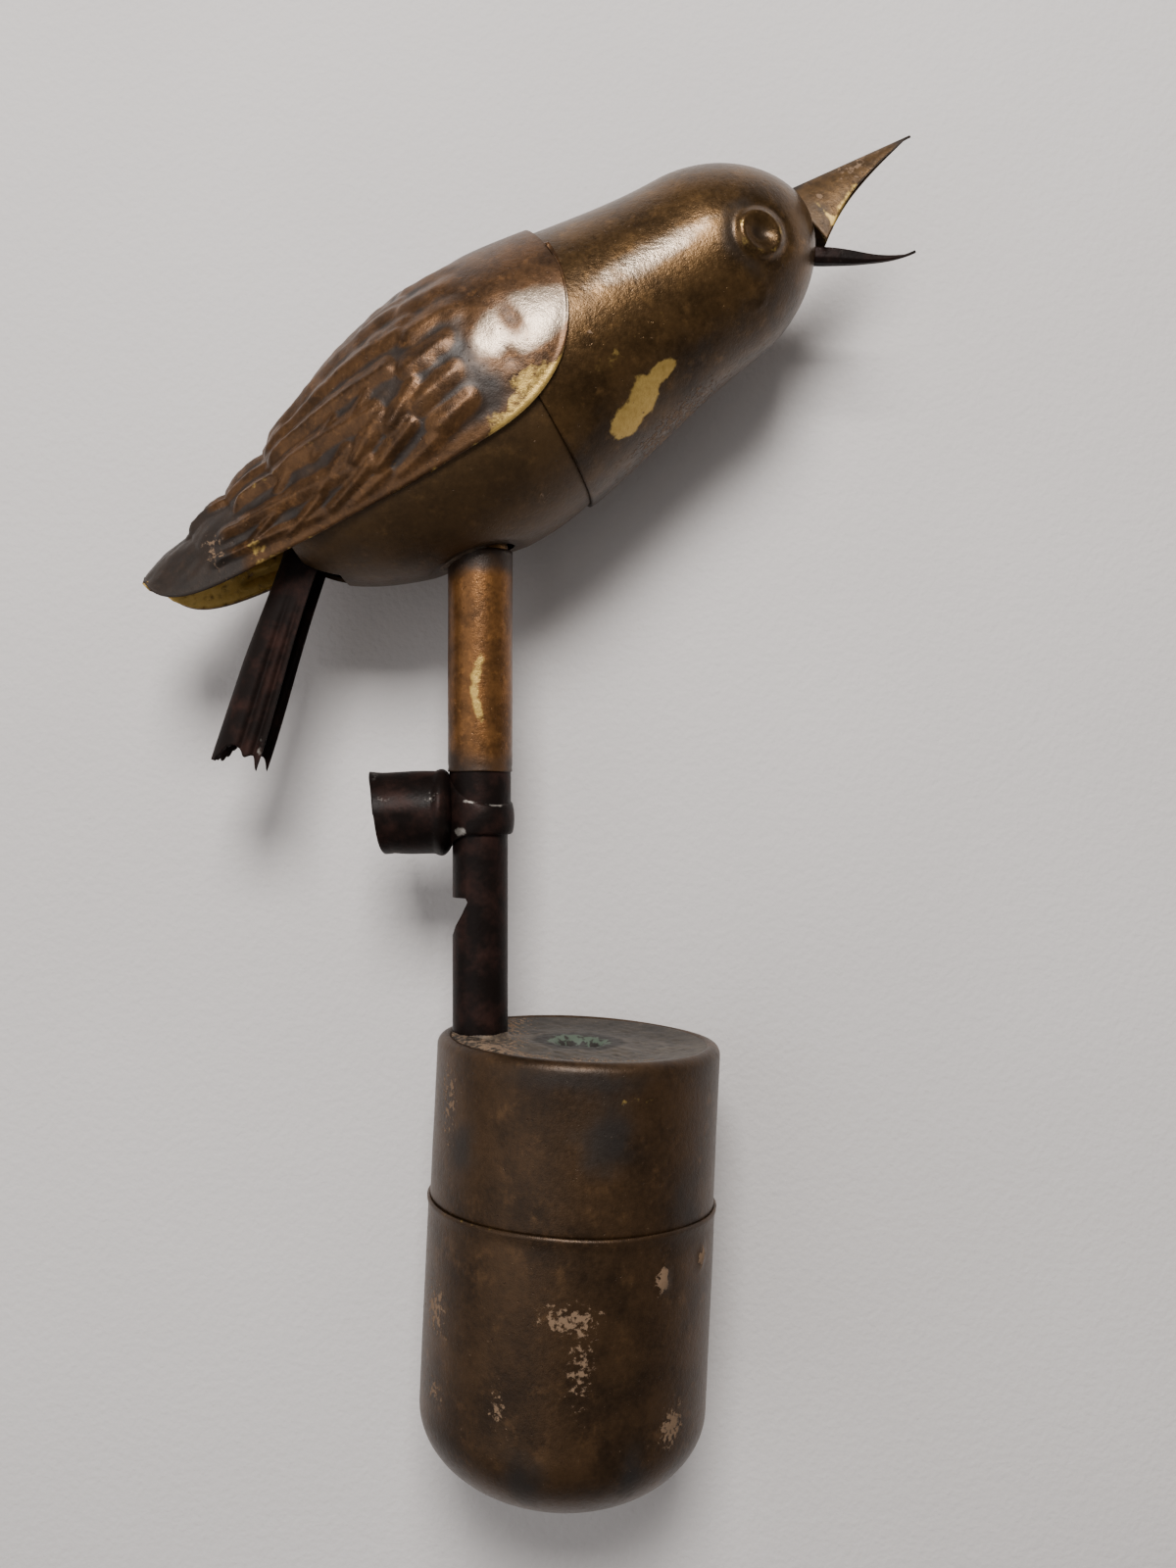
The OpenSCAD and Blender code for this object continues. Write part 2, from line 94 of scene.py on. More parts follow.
# The cup's own axis, and the foot of the stem at the level of the cup's plate
CUP_UP = -np.array(MOUNTS["cup_grip"]["axis"], float)
CUP_SIDE = np.array([CUP_UP[2], 0.0, -CUP_UP[0]])
STEM_LOW, STEM_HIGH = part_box("stem_tube")
STEM_START = 28.0
STEM_FOOT = np.array([(STEM_LOW[0] + STEM_HIGH[0]) / 2, 0.0, STEM_LOW[2] - STEM_START * MM])


def body_point(t, radius, angle, rise=0.0):
    """Nose + t along the axis backwards + radius turned by angle from the back towards -Y."""
    height = radius * np.cos(angle) + rise
    side = radius * np.sin(angle)
    return NOSE + MM * (t[..., None] * BACK + height[..., None] * RISE + side[..., None] * NEAR)


def body_place(points):
    """Back again: distance behind the nose and height in mm, angle from the back in degrees."""
    away = (points - NOSE) / MM
    t, v = away @ BACK, away @ RISE
    return t, v, np.degrees(np.arctan2(np.abs(away[..., 1]), v)), away @ NEAR


def cup_point(radius, angle, height):
    """Point on the leaning cup: angle 0 faces +X and a quarter turn faces the near side."""
    return MM * (
        (radius * np.cos(angle))[..., None] * CUP_SIDE
        + (radius * np.sin(angle))[..., None] * NEAR
        + height[..., None] * CUP_UP
    )


def stem_point(x, y, z):
    """Point in millimetres from the foot of the stem's axis."""
    return STEM_FOOT + MM * np.stack([x, y, z], axis=-1)


# ---------------------------------------------------------------- numbers and curves


def smooth(low, high, x):
    """Eases from 0 at low to 1 at high."""
    u = np.clip((x - low) / (high - low), 0, 1)
    return u * u * (3 - 2 * u)


def hump(x, width):
    """Bell of height 1 at x = 0."""
    return np.exp(-((x / width) ** 2))


def saw(x):
    """Zigzag between 0 and 1, one tooth to each whole number."""
    part = x - np.floor(x)
    return 1 - np.abs(2 * part - 1)


def ripple(seed, *axes, waves=7, low=0.5, high=2.0):
    """Average of sine waves in random directions across the axes, seeded, from -1 to 1."""
    rng = np.random.default_rng(seed)
    total = 0.0
    for _ in range(waves):
        push = rng.uniform(0, 2 * math.pi)
        for axis in axes:
            push = push + axis * rng.uniform(low, high) * rng.choice((-1, 1))
        total = total + np.sin(push)
    return total / waves


def bezier(points, steps=40):
    """Cubic curve through the first and last of four points, pulled by the two between."""
    a, b, c, d = np.array(points, float)
    u = np.linspace(0, 1, steps)[:, None]
    return (1 - u) ** 3 * a + 3 * u * (1 - u) ** 2 * b + 3 * u * u * (1 - u) * c + u**3 * d


def even(points, count):
    """The same line with its points an equal distance apart."""
    points = np.asarray(points, float)
    run = np.concatenate([[0], np.cumsum(np.linalg.norm(np.diff(points, axis=0), axis=1))])
    spots = np.linspace(0, run[-1], count)
    return np.stack([np.interp(spots, run, points[:, k]) for k in range(points.shape[1])], axis=1)


# Profiles as [distance behind the nose, radius], the same curves as the solids
FRONT_LINE = np.concatenate([
    bezier([(0, 0), (0, 4.7), (5.4, 9.8), (12, 10.5)]),
    bezier([(12, 10.5), (20, 11), (26, 12.9), (35.8, 14.2)]),
])
REAR_LINE = np.concatenate([
    bezier([(35.0, 13.6), (40, 14.6), (45, 14.1), (50, 12.7)]),
    bezier([(50, 12.7), (57, 10.9), (65.8, 7), (66.2, 0)]),
])
WING_LINE = np.concatenate([
    bezier([(26.2, 13.0), (31, 14.05), (36, 14.85), (41, 14.65)]),
    bezier([(41, 14.65), (47, 14.4), (54, 12), (60, 9.55)]),
    bezier([(60, 9.55), (65, 7.4), (73, 6.5), (79.5, 4.8)]),
])
WING_EDGE = np.concatenate([
    bezier([(26.8, 8), (26.9, 1.5), (31, -5.4), (41, -5.3)]),
    bezier([(41, -5.3), (52, -5.2), (60, -2.9), (70, -1.7)]),
    bezier([(70, -1.7), (75, -1), (79.6, 0), (79.3, 4.2)]),
])

# ---------------------------------------------------------------- meshes


def piece(name, points, wrap=False, first_pole=False, last_pole=False):
    """Mesh object over a grid of points; wrap joins the last column to the first, and a pole
    draws a whole end row together into one vertex. Faces are turned to point outwards."""
    points = np.asarray(points, float)
    rows, cols = points.shape[:2]
    number = np.arange(rows * cols).reshape(rows, cols)
    right = np.roll(number, -1, axis=1) if wrap else number[:, 1:]
    left = number if wrap else number[:, :-1]
    quads = np.stack([left[:-1], right[:-1], right[1:], left[1:]], axis=-1).reshape(-1, 4)
    verts = points.reshape(-1, 3)
    corner = verts[quads]
    normal = np.cross(corner[:, 2] - corner[:, 0], corner[:, 3] - corner[:, 1])
    outward = np.einsum("ij,ij->", normal, corner.mean(axis=1) - verts.mean(axis=0))
    if outward < 0:
        quads = quads[:, ::-1]
    mesh = bpy.data.meshes.new(name)
    mesh.from_pydata(verts.tolist(), [], quads.tolist())
    obj = bpy.data.objects.new(name, mesh)
    bpy.context.scene.collection.objects.link(obj)
    if first_pole or last_pole:
        gather_poles(mesh, number, first_pole, last_pole)
    mesh.polygons.foreach_set("use_smooth", np.ones(len(mesh.polygons), bool))
    mesh.update()
    return obj


def gather_poles(mesh, number, first_pole, last_pole):
    """Merges each closed end row into one vertex, so a turned piece has no pinhole."""
    work = bmesh.new()
    work.from_mesh(mesh)
    work.verts.ensure_lookup_table()
    rows = ([number[0]] if first_pole else []) + ([number[-1]] if last_pole else [])
    ends = [work.verts[int(i)] for row in rows for i in row]
    bmesh.ops.remove_doubles(work, verts=ends, dist=1e-7)
    work.to_mesh(mesh)
    work.free()


def block(name, outline, half_width, place):
    """Closed prism used as a cutter: an outline in two numbers, carried to both sides by place."""
    outline = np.asarray(outline, float)
    count = len(outline)
    verts = np.concatenate([place(outline, -half_width), place(outline, half_width)])
    ring = np.arange(count)
    after = np.roll(ring, -1)
    sides = np.stack([ring, after, after + count, ring + count], axis=1).tolist()
    mesh = bpy.data.meshes.new(name)
    mesh.from_pydata(verts.tolist(), [], sides + [ring[::-1].tolist(), (ring + count).tolist()])
    obj = bpy.data.objects.new(name, mesh)
    bpy.context.scene.collection.objects.link(obj)
    recalc(mesh)
    return obj


def recalc(mesh):
    """Turns the faces of a closed mesh outwards."""
    work = bmesh.new()
    work.from_mesh(mesh)
    bmesh.ops.recalc_face_normals(work, faces=work.faces)
    work.to_mesh(mesh)
    work.free()


def thicken(obj, wall):
    """Gives a sheet its wall, inwards from the outer face."""
    solid = obj.modifiers.new("wall", "SOLIDIFY")
    solid.thickness = wall * MM
    solid.offset = -1
    solid.use_even_offset = False
    solid.use_rim = True


def cut(obj, cutters):
    """Takes each cutter away from the piece."""
    for number, cutter in enumerate(cutters):
        tool = obj.modifiers.new(f"cut {number}", "BOOLEAN")
        tool.operation = "DIFFERENCE"
        tool.solver = "EXACT"
        tool.object = cutter


def settle(obj, cutters=()):
    """Applies the modifiers and drops the cutters."""
    bpy.context.view_layer.update()
    seen = obj.evaluated_get(bpy.context.evaluated_depsgraph_get())
    mesh = bpy.data.meshes.new_from_object(seen)
    mesh.name = obj.name
    obj.modifiers.clear()
    obj.data = mesh
    for cutter in cutters:
        bpy.data.objects.remove(cutter)


def places(obj):
    """The piece's vertices as an array of points in metres."""
    flat = np.empty(len(obj.data.vertices) * 3)
    obj.data.vertices.foreach_get("co", flat)
    return flat.reshape(-1, 3)


def mark(obj, **masks):
    """Stores each mask, one number a vertex, for the finish to read."""
    for name, values in masks.items():
        layer = obj.data.attributes.new(name, "FLOAT", "POINT")
        layer.data.foreach_set("value", np.clip(values, 0, 1).astype(np.float32).ravel())


def fit(obj, body, slot, finish, *nodes):
    """Puts a finished piece on its body, in place of the CAD nodes it stands for."""
    obj.data.materials.clear()
    obj.data.materials.append(finish)
    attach(obj, body)
    if nodes:
        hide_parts(*nodes)


def dress(finish, *nodes):
    """Gives CAD nodes that keep their shape a new finish."""
    for node in nodes:
        mesh = frame["nodes"][node].data
        mesh.materials.clear()
        mesh.materials.append(finish)


# ---------------------------------------------------------------- finishes


class Value:
    """A shader socket that sums can be written with."""

    def __init__(self, paint, socket):
        self.paint, self.socket = paint, socket

    def _sum(self, operation, first, second):
        return self.paint.node("ShaderNodeMath", {"operation": operation}, {0: first, 1: second})

    def __add__(self, other):
        return self._sum("ADD", self, other)

    def __sub__(self, other):
        return self._sum("SUBTRACT", self, other)

    def __rsub__(self, other):
        return self._sum("SUBTRACT", other, self)

    def __mul__(self, other):
        return self._sum("MULTIPLY", self, other)

    __radd__ = __add__
    __rmul__ = __mul__


class Paint:
    """One finish: a Principled shader, and the patterns that colour it."""

    def __init__(self, name):
        self.material = bpy.data.materials.new(name)
        self.material.use_nodes = True
        self.tree = self.material.node_tree
        self.tree.nodes.clear()
        self.shader = self.tree.nodes.new("ShaderNodeBsdfPrincipled")
        out = self.tree.nodes.new("ShaderNodeOutputMaterial")
        self.tree.links.new(self.shader.outputs[0], out.inputs[0])
        self.spot = self.node("ShaderNodeTexCoord", {}, {}, "Object")

    def node(self, kind, settings, inputs, output=0):
        """Makes a node from its type, its settings and its socket values."""
        made = self.tree.nodes.new(kind)
        for key, value in settings.items():
            setattr(made, key, value)
        for key, value in inputs.items():
            if isinstance(value, Value):
                self.tree.links.new(value.socket, made.inputs[key])
            else:
                made.inputs[key].default_value = value
        return Value(self, made.outputs[output])

    def noise(self, size, detail=4.0, rough=0.55):
        """Cloudy pattern whose patches are about size mm across, from 0 to 1."""
        return self.node(
            "ShaderNodeTexNoise",
            {"noise_dimensions": "3D"},
            {"Vector": self.spot, "Scale": 1000.0 / size, "Detail": detail, "Roughness": rough},
        )

    def between(self, low, high, value):
        """Eases from 0 where value is low to 1 where it is high."""
        return self.node(
            "ShaderNodeMapRange",
            {"interpolation_type": "SMOOTHSTEP"},
            {"Value": value, "From Min": low, "From Max": high},
        )

    def mask(self, name):
        """One of the masks that mark() stored."""
        return self.node("ShaderNodeAttribute", {"attribute_name": name}, {}, "Fac")

    def blend(self, amount, first, second):
        """Colour first where amount is 0, second where it is 1."""
        first = first if isinstance(first, Value) else (*first, 1.0)
        second = second if isinstance(second, Value) else (*second, 1.0)
        return self.node(
            "ShaderNodeMix", {"data_type": "RGBA"}, {0: amount, 6: first, 7: second}, 2
        )

    def ragged(self, field, size, reach=0.5, edge=0.08):
        """A mask's field with a torn edge: noise of that size moves the edge by reach."""
        return self.between(0.5 - edge, 0.5 + edge, field + (self.noise(size) - 0.5) * reach)

    def set(self, **sockets):
        """Gives the shader's sockets values or patterns; an underscore stands for a space."""
        for name, value in sockets.items():
            socket = self.shader.inputs[name.replace("_", " ")]
            if isinstance(value, Value):
                self.tree.links.new(value.socket, socket)
            else:
                socket.default_value = (*value, 1.0) if isinstance(value, tuple) else value

    def bump(self, height, depth):
        """Height in parts of depth mm, turned into a normal."""
        sockets = {"Height": height, "Strength": 1.0, "Distance": depth * MM}
        self.set(Normal=self.node("ShaderNodeBump", {}, sockets, "Normal"))


def tarnished(name, dark, mid, light, gloss=0.36, patch=4.0, metal=0.7):
    """Brass under brown tarnish: three tones in clouds, gold wear where the mask "rub" is high
    (along a few edges a painted highlight), a painted silver-grey highlight where "shine" is,
    black where "soot" is (in places painted shade), green where "verdigris" is and tan
    crust where "crust" is."""
    paint = Paint(name)
    clouds = paint.noise(patch, 6.0, 0.62)
    grain = paint.noise(0.55, 3.0, 0.6)
    fine = paint.noise(0.16, 2.0, 0.6)
    tone = paint.between(0.32, 0.68, clouds * 0.75 + grain * 0.25)
    colour = paint.blend(tone, dark, mid)
    pale = paint.between(0.52, 0.78, paint.noise(patch * 0.45, 5.0, 0.7))
    colour = paint.blend(pale, colour, light)
    soot = paint.ragged(paint.mask("soot"), 2.2, 0.7, 0.38)
    rub = paint.ragged(paint.mask("rub"), 0.8, 0.7, 0.12)
    shine = paint.ragged(paint.mask("shine"), 1.6, 0.5, 0.25)
    crust = paint.ragged(paint.mask("crust"), 0.55, 1.9, 0.10)
    # Near-black, which in places is painted shade
    colour = paint.blend(soot * 0.85, colour, (0.011, 0.009, 0.008))
    # Painted highlight: silver-grey where the shine mask is
    colour = paint.blend(shine * 0.7, colour, (0.36, 0.285, 0.215))
    gold = paint.blend(grain, (0.40, 0.24, 0.05), (0.66, 0.46, 0.14))
    # Gold wear, which along a few edges is a painted highlight
    colour = paint.blend(rub * 0.9, colour, gold)
    green = paint.ragged(paint.mask("verdigris") * 0.62, 0.7, 1.6, 0.08)
    colour = paint.blend(green * 0.7, colour, (0.085, 0.12, 0.085))
    colour = paint.blend(crust * 0.75, colour, (0.21, 0.13, 0.075))
    specks = paint.between(0.70, 0.76, paint.noise(0.5, 2.0, 0.5))
    colour = paint.blend(specks * 0.6, colour, dark)
    rough = gloss + (grain - 0.5) * 0.20 + soot * 0.12 + crust * 0.35 - shine * 0.10
    paint.set(
        Base_Color=colour,
        Metallic=metal - soot * 0.3 - crust * 0.5 - green * 0.4,
        Roughness=rough,
    )
    paint.bump(grain * 0.6 + fine * 0.3 + clouds * 0.8 + crust * 1.2 - specks * 0.4, 0.06)
    return paint.material


def blackened(name, base, gloss=0.42):
    """Near-black patina with a brown cast, dull scuffs along it and grey painted highlights, some of them on
    solder.
    """
    paint = Paint(name)
    clouds = paint.noise(3.0, 5.0, 0.6)
    grain = paint.noise(0.4, 3.0, 0.6)
    brown = tuple(gain * part for gain, part in zip((3.4, 2.4, 2.2), base))
    colour = paint.blend(paint.between(0.42, 0.72, clouds), base, brown)
    # Painted highlight: grey spots of light, some of them on solder
    painted_glint = paint.ragged(paint.mask("shine"), 0.7, 0.9, 0.15)
    colour = paint.blend(painted_glint * 0.8, colour, (0.34, 0.31, 0.28))
    paint.set(Base_Color=colour, Metallic=0.15 + painted_glint * 0.5,
              Roughness=gloss + (clouds - 0.5) * 0.3 - painted_glint * 0.10, Specular_IOR_Level=0.08)
    paint.bump(grain * 0.5 + clouds * 1.2, 0.06)
    return paint.material


def soldered(name):
    """Brown, rough soft solder."""
    paint = Paint(name)
    clouds = paint.noise(1.1, 5.0, 0.65)
    grain = paint.noise(0.3, 3.0, 0.6)
    dirt = paint.between(0.35, 0.65, clouds)
    colour = paint.blend(dirt, (0.045, 0.032, 0.022), (0.15, 0.105, 0.068))
    colour = paint.blend(paint.between(0.62, 0.74, grain), colour, (0.02, 0.017, 0.013))
    paint.set(Base_Color=colour, Metallic=0.25, Roughness=0.62 + (grain - 0.5) * 0.3)
    paint.bump(grain * 0.6 + clouds, 0.16)
    return paint.material


# ---------------------------------------------------------------- settings


class WhistleSizes(bpy.types.PropertyGroup):
    """Sizes of the finished pieces"""

    shell_wall: FloatProperty(
        name="Shell sheet",
        description="Wall of the body shells",
        default=0.4 * MM,
        min=0.2 * MM,
        max=0.6 * MM,
        subtype="DISTANCE",
        unit="LENGTH",
    )
    wing_wall: FloatProperty(
        name="Wing sheet",
        description="Wall of the wing cover",
        default=0.4 * MM,
        min=0.2 * MM,
        max=0.6 * MM,
        subtype="DISTANCE",
        unit="LENGTH",
    )
    relief: FloatProperty(
        name="Feather relief",
        description="Height of the embossed feathers",
        default=0.42 * MM,
        min=0.0 * MM,
        max=0.6 * MM,
        subtype="DISTANCE",
        unit="LENGTH",
    )
    eye_ring: FloatProperty(
        name="Eye ring",
        description="Radius of the raised ring about the eye",
        default=1.95 * MM,
        min=1.6 * MM,
        max=2.8 * MM,
        subtype="DISTANCE",
        unit="LENGTH",
    )
    cup_radius: FloatProperty(
        name="Cup radius",
        description="Outside radius of the lower cup",
        default=MOUNTS["cup_grip"]["dims"]["r_mm"] * MM,
        min=14 * MM,
        max=16 * MM,
        subtype="DISTANCE",
        unit="LENGTH",
    )
    cup_depth: FloatProperty(
        name="Cup depth",
        description="Depth of the cup below its seam",
        default=31.0 * MM,
        min=28 * MM,
        max=34 * MM,
        subtype="DISTANCE",
        unit="LENGTH",
    )
    band_height: FloatProperty(
        name="Band height",
        description="Height of the band above the seam",
        default=16.8 * MM,
        min=15 * MM,
        max=18 * MM,
        subtype="DISTANCE",
        unit="LENGTH",
    )
    around: IntProperty(
        name="Steps around", description="Faces round a turned piece", default=192, min=48, max=256
    )


class WhistleColours(bpy.types.PropertyGroup):
    """Colours of the tarnish"""

    body_brown: FloatVectorProperty(
        name="Body brown",
        description="Middle tone of the bird's body",
        default=(0.120, 0.064, 0.023),
        subtype="COLOR",
    )
    wing_brown: FloatVectorProperty(
        name="Wing brown",
        description="Middle tone of the wing cover",
        default=(0.112, 0.052, 0.019),
        subtype="COLOR",
    )
    cup_brown: FloatVectorProperty(
        name="Cup brown",
        description="Middle tone of the cup",
        default=(0.066, 0.034, 0.014),
        subtype="COLOR",
    )
    stem_orange: FloatVectorProperty(
        name="Stem orange",
        description="Middle tone of the stem",
        default=(0.210, 0.090, 0.026),
        subtype="COLOR",
    )
    blackened: FloatVectorProperty(
        name="Blackened metal",
        description="Tone of the black pieces",
        default=(0.0075, 0.0050, 0.0044),
        subtype="COLOR",
    )


LENGTHS = ("shell_wall", "wing_wall", "relief", "eye_ring", "cup_radius", "cup_depth", "band_height")


def sizes():
    """The size settings in millimetres, the unit that the pieces are worked out in."""
    held = bpy.context.scene.whistle_sizes
    lengths = {name: getattr(held, name) / MM for name in LENGTHS}
    return SimpleNamespace(around=held.around, **lengths)


def colours():
    return bpy.context.scene.whistle_colours


def tone(colour, gain):
    """The same colour, lighter or darker."""
    return tuple(gain * part for part in colour)


def turn_angles(count):
    """Angles evenly round a full turn, without the last."""
    return np.linspace(0, 2 * math.pi, count, endpoint=False)


# ---------------------------------------------------------------- cup

CUP_MM_PER_DEGREE = 0.26


def lower_cup():
    """Straight wall down from a slightly flared rim, then a half ellipse to the pole, with two
    solder runs under the rim and shallow dents."""
    size = sizes()
    radius, depth, dome = size.cup_radius, size.cup_depth, 9.6
    turn = np.linspace(0, math.pi / 2, 60)
    line = np.concatenate([
        [(radius + 0.16, 0.05), (radius + 0.14, -0.35), (radius + 0.02, -0.8), (radius, -1.4)],
        np.stack([radius * np.cos(turn), dome - depth - dome * np.sin(turn)], axis=1),
    ])
    line = np.concatenate([line[:4], even(line[3:], 120)[1:]])
    angle = turn_angles(size.around)
    r = np.repeat(line[:, :1], len(angle), 1)
    h = np.repeat(line[:, 1:], len(angle), 1)
    a = np.repeat(angle[None, :], len(line), 0)
    low = smooth(0, 6, -h)
    r = r * (1 + 0.004 * low * ripple(3, 2 * a, h / 6) * smooth(0, 5, r))
    drips = [(math.radians(52), -4.6, 0.55, 1.2), (math.radians(28), -3.6, 0.6, 1.0)]
    for at, level, width, tall in drips:
        gap = (a - at) * radius
        r = r + 0.28 * hump(gap, width) * hump(h - level, tall)
    h = h + 0.14 * hump(h, 1.0) * ripple(5, a * 2, waves=5, low=0.5, high=3)
    obj = piece("lower_cup", cup_point(r, a, h), wrap=True, last_pole=True)
    thicken(obj, 0.4)
    settle(obj)
    paint_cup(obj, drips)
    return obj


def paint_cup(obj, drips=()):
    """Black blotches, tan crust where the lacquer has lifted, and a coppery upper rim, which along the band's
    shoulder is partly wear and partly a painted highlight.
    """
    at = places(obj) / MM
    x, y, z = at @ CUP_SIDE, at @ NEAR, at @ CUP_UP
    angle = np.degrees(np.arctan2(y, x))

    def spot(at_angle, level, width, tall):
        """Soft patch of that width and height in mm, centred at that angle and level."""
        return hump((angle - at_angle) * CUP_MM_PER_DEGREE, width) * hump(z - level, tall)

    soot = (
        spot(78, 9.6, 3.4, 4.2) + 0.9 * spot(62, -23, 2.0, 3.8) + 0.9 * spot(104, -24, 2.8, 3.6)
        + 0.8 * spot(140, 7, 3.4, 3.4) + 0.7 * spot(40, 2, 3, 5) + 0.7 * spot(90, 15.2, 9, 1.4)
        + spot(-90, -12, 8, 7) + spot(-150, 4, 5, 5)
    )
    crust = (
        0.60 * spot(152, -10, 2.6, 3.0) + 0.62 * spot(90, -7.6, 3.2, 1.4) + 0.55 * spot(84, -12.5, 1.3, 4)
        + 0.72 * spot(44, -19.5, 1.8, 2.2) + 0.55 * spot(150, -18, 1.5, 1.4) + 0.5 * spot(114, -17, 1.4, 2)
        + 0.6 * spot(-70, -16, 4, 3) + 0.5 * spot(150, 11, 1.8, 4)
    )
    for a, level, width, tall in drips:
        crust = crust + 1.2 * spot(math.degrees(a), level, width * 1.1, tall)
    # The line at z = 15.9 round the band's rounded shoulder is partly wear and partly a painted highlight
    rub = 0.36 * spot(64, 13.2, 6, 1.0) + 0.26 * hump(z - 15.9, 0.5)
    rub = rub + 0.35 * hump(z + 0.1, 0.35) * (z > -0.6)
    mark(obj, soot=soot * 0.85, crust=crust, rub=rub)


def upper_band():
    """Wall up from inside the rim to a rolled shoulder that turns in over the plate."""
    size = sizes()
    radius, top = 14.9, size.band_height
    turn = np.linspace(0, math.pi / 2, 12)
    line = np.concatenate([
        [(14.6, -3.0), (14.6, -0.2), (radius - 0.05, 0.05)],
        even([(radius, 0.3), (radius - 0.06, 8), (radius, top - 1.3)], 40),
        np.stack([radius - 1.1 + 1.1 * np.cos(turn), top - 1.1 + 1.1 * np.sin(turn)], axis=1)[1:],
        [(13.5, top - 0.12), (13.3, top - 0.5), (13.25, top - 1.15)],
    ])
    angle = turn_angles(size.around)
    a = np.repeat(angle[None, :], len(line), 0)
    r = np.repeat(line[:, :1], len(angle), 1)
    h = np.repeat(line[:, 1:], len(angle), 1)
    r = r * (1 + 0.004 * ripple(11, 2 * a, h / 5) * smooth(1, 6, h))
    h = h + 0.12 * smooth(top - 3, top, h) * ripple(12, 2 * a, waves=5)
    obj = piece("upper_band", cup_point(r, a, h), wrap=True)
    thicken(obj, 0.35)
    settle(obj)
    paint_cup(obj)
    return obj


def cup_plate():
    """Dished disc: level at the edge, falling to a shallow floor, with the filling hole's edge
    turned down in the middle and a rough crust about it."""
    size = sizes()
    level = size.band_height - 0.45
    line = np.concatenate([
        [(13.6, level)],
        bezier([(13.3, level), (12.6, level - 0.1), (11.2, level - 0.5), (9, level - 0.55)], 24),
        bezier([(9, level - 0.55), (6.5, level - 0.5), (4.6, level - 0.2), (3.4, level - 0.3)], 24)[1:],
        bezier([(3.4, level - 0.3), (2.7, level - 0.4), (2.45, level - 0.9), (2.4, level - 1.9)], 12)[1:],
    ])
    line = even(line, 90)
    angle = turn_angles(size.around)
    a = np.repeat(angle[None, :], len(line), 0)
    r = np.repeat(line[:, :1], len(angle), 1)
    h = np.repeat(line[:, 1:], len(angle), 1)
    x, y = r * np.cos(a), r * np.sin(a)
    rough = 0.16 * ripple(21, x * 0.9, y * 0.9, waves=9) + 0.08 * ripple(22, x * 2.5, y * 2.5, waves=9)
    h = h + rough * smooth(13.3, 11, r) + 0.45 * smooth(-4.5, -9, x) * smooth(13.4, 12, r)
    r = r + 0.12 * ripple(23, 3 * a) * hump(r - 2.4, 0.5)
    obj = piece("cup_plate", cup_point(r, a, h), wrap=True)
    thicken(obj, 0.3)
    settle(obj)
    at = places(obj) / MM
    x, y = at @ CUP_SIDE, at @ NEAR
    ring = np.hypot(x, y)
    mark(
        obj,
        verdigris=hump(ring - 2.9, 0.8),
        crust=0.46 * smooth(-2, -8, x) + 0.44 * smooth(5, 10, y) * smooth(13.2, 11, ring),
        soot=1.1 * smooth(5.6, 3.8, ring) + 0.55 * smooth(2, -6, y),
        # Painted highlight in a ring on the plate's +X side
        shine=0.3 * hump(ring - 9, 2) * smooth(2, 8, x),
    )
    return obj


def plate_finish():
    """Rough dark plate with green corrosion about its hole."""
    dark, mid, light = (0.030, 0.025, 0.020), (0.085, 0.066, 0.048), (0.15, 0.12, 0.085)
    return tarnished("plate tarnish", dark, mid, light, 0.55, 2.0, 0.4)


def foot_solder():
    """Uneven collar of solder: a cone about the tube whose foot wanders in and out."""
    angle = turn_angles(96)
    u = np.linspace(0, 1, 24)
    a = np.repeat(angle[None, :], len(u), 0)
    s = np.repeat(u[:, None], len(angle), 1)
    spill = hump(np.angle(np.exp(1j * (a - 0.2))), 0.9)
    reach = 0.75 + 0.3 * ripple(31, 2 * a, low=1, high=3) + 0.75 * spill
    radius = 2.9 + reach * s**1.7
    z = 0.75 - 1.45 * s + 0.18 * ripple(32, 3 * a, 4 * s)
    obj = piece("foot_solder", stem_point(radius * np.cos(a), -radius * np.sin(a), z), wrap=True)
    return obj


# ---------------------------------------------------------------- pipes


def side_pipe():
    """Blow pipe: a tube along -X, flared and pressed out of round at its slanted open end, and
    closed by a rounded wall where it meets the tee."""
    radius, start, end, axis_z = 4.45, -11.5, -3.5, 23.65
    line = np.concatenate([
        even([(start, radius + 0.12), (start + 1.2, radius), (end - 1.2, radius)], 44),
        bezier([
            (end - 1.2, radius), (end - 0.4, radius + 0.4), (end, radius + 0.2), (end + 0.5, radius - 0.9)
        ], 12)[1:],
        [(end + 0.7, 2.0), (end + 0.7, 0.0)],
    ])
    angle = turn_angles(120)
    a = np.repeat(angle[None, :], len(line), 0)
    x = np.repeat(line[:, :1], len(angle), 1)
    r = np.repeat(line[:, 1:], len(angle), 1)
    mouth = smooth(end - 2, start, x)
    slant = 0.8 * (1 - np.sin(a)) + 0.25 * ripple(41, 2 * a)
    x = x + mouth**2 * slant
    dent = 0.05 * mouth * np.cos(2 * a + 0.5) + 0.02 * ripple(42, 2 * a, x / 2)
    waist = -0.03 * hump(x + 5.5, 2.0) * smooth(0.2, -0.8, np.sin(a))
    lump = 0.16 * hump(x - end, 0.9) * ripple(43, 3 * a, x)
    r = r * (1 + dent + waist) + lump
    y = -r * np.cos(a)
    z = axis_z + r * np.sin(a)
    obj = piece("side_pipe", stem_point(x, y, z), wrap=True, last_pole=True)
    thicken(obj, 0.38)
    settle(obj)
    at = (places(obj) - STEM_FOOT) / MM
    x, y, z = at.T
    # Painted highlights: bands along the upper front of the pipe and a line on the upper rim of its open end
    highlight_streaks = hump(z - 25.3, 0.9) * (hump(x + 4.6, 1.3) + 0.9 * hump(x + 9.6, 1.6)) * (y < 0)
    mark(obj, shine=0.42 * highlight_streaks + 0.4 * hump(x + 10.9, 0.5) * smooth(26, 27.5, z))
    return obj


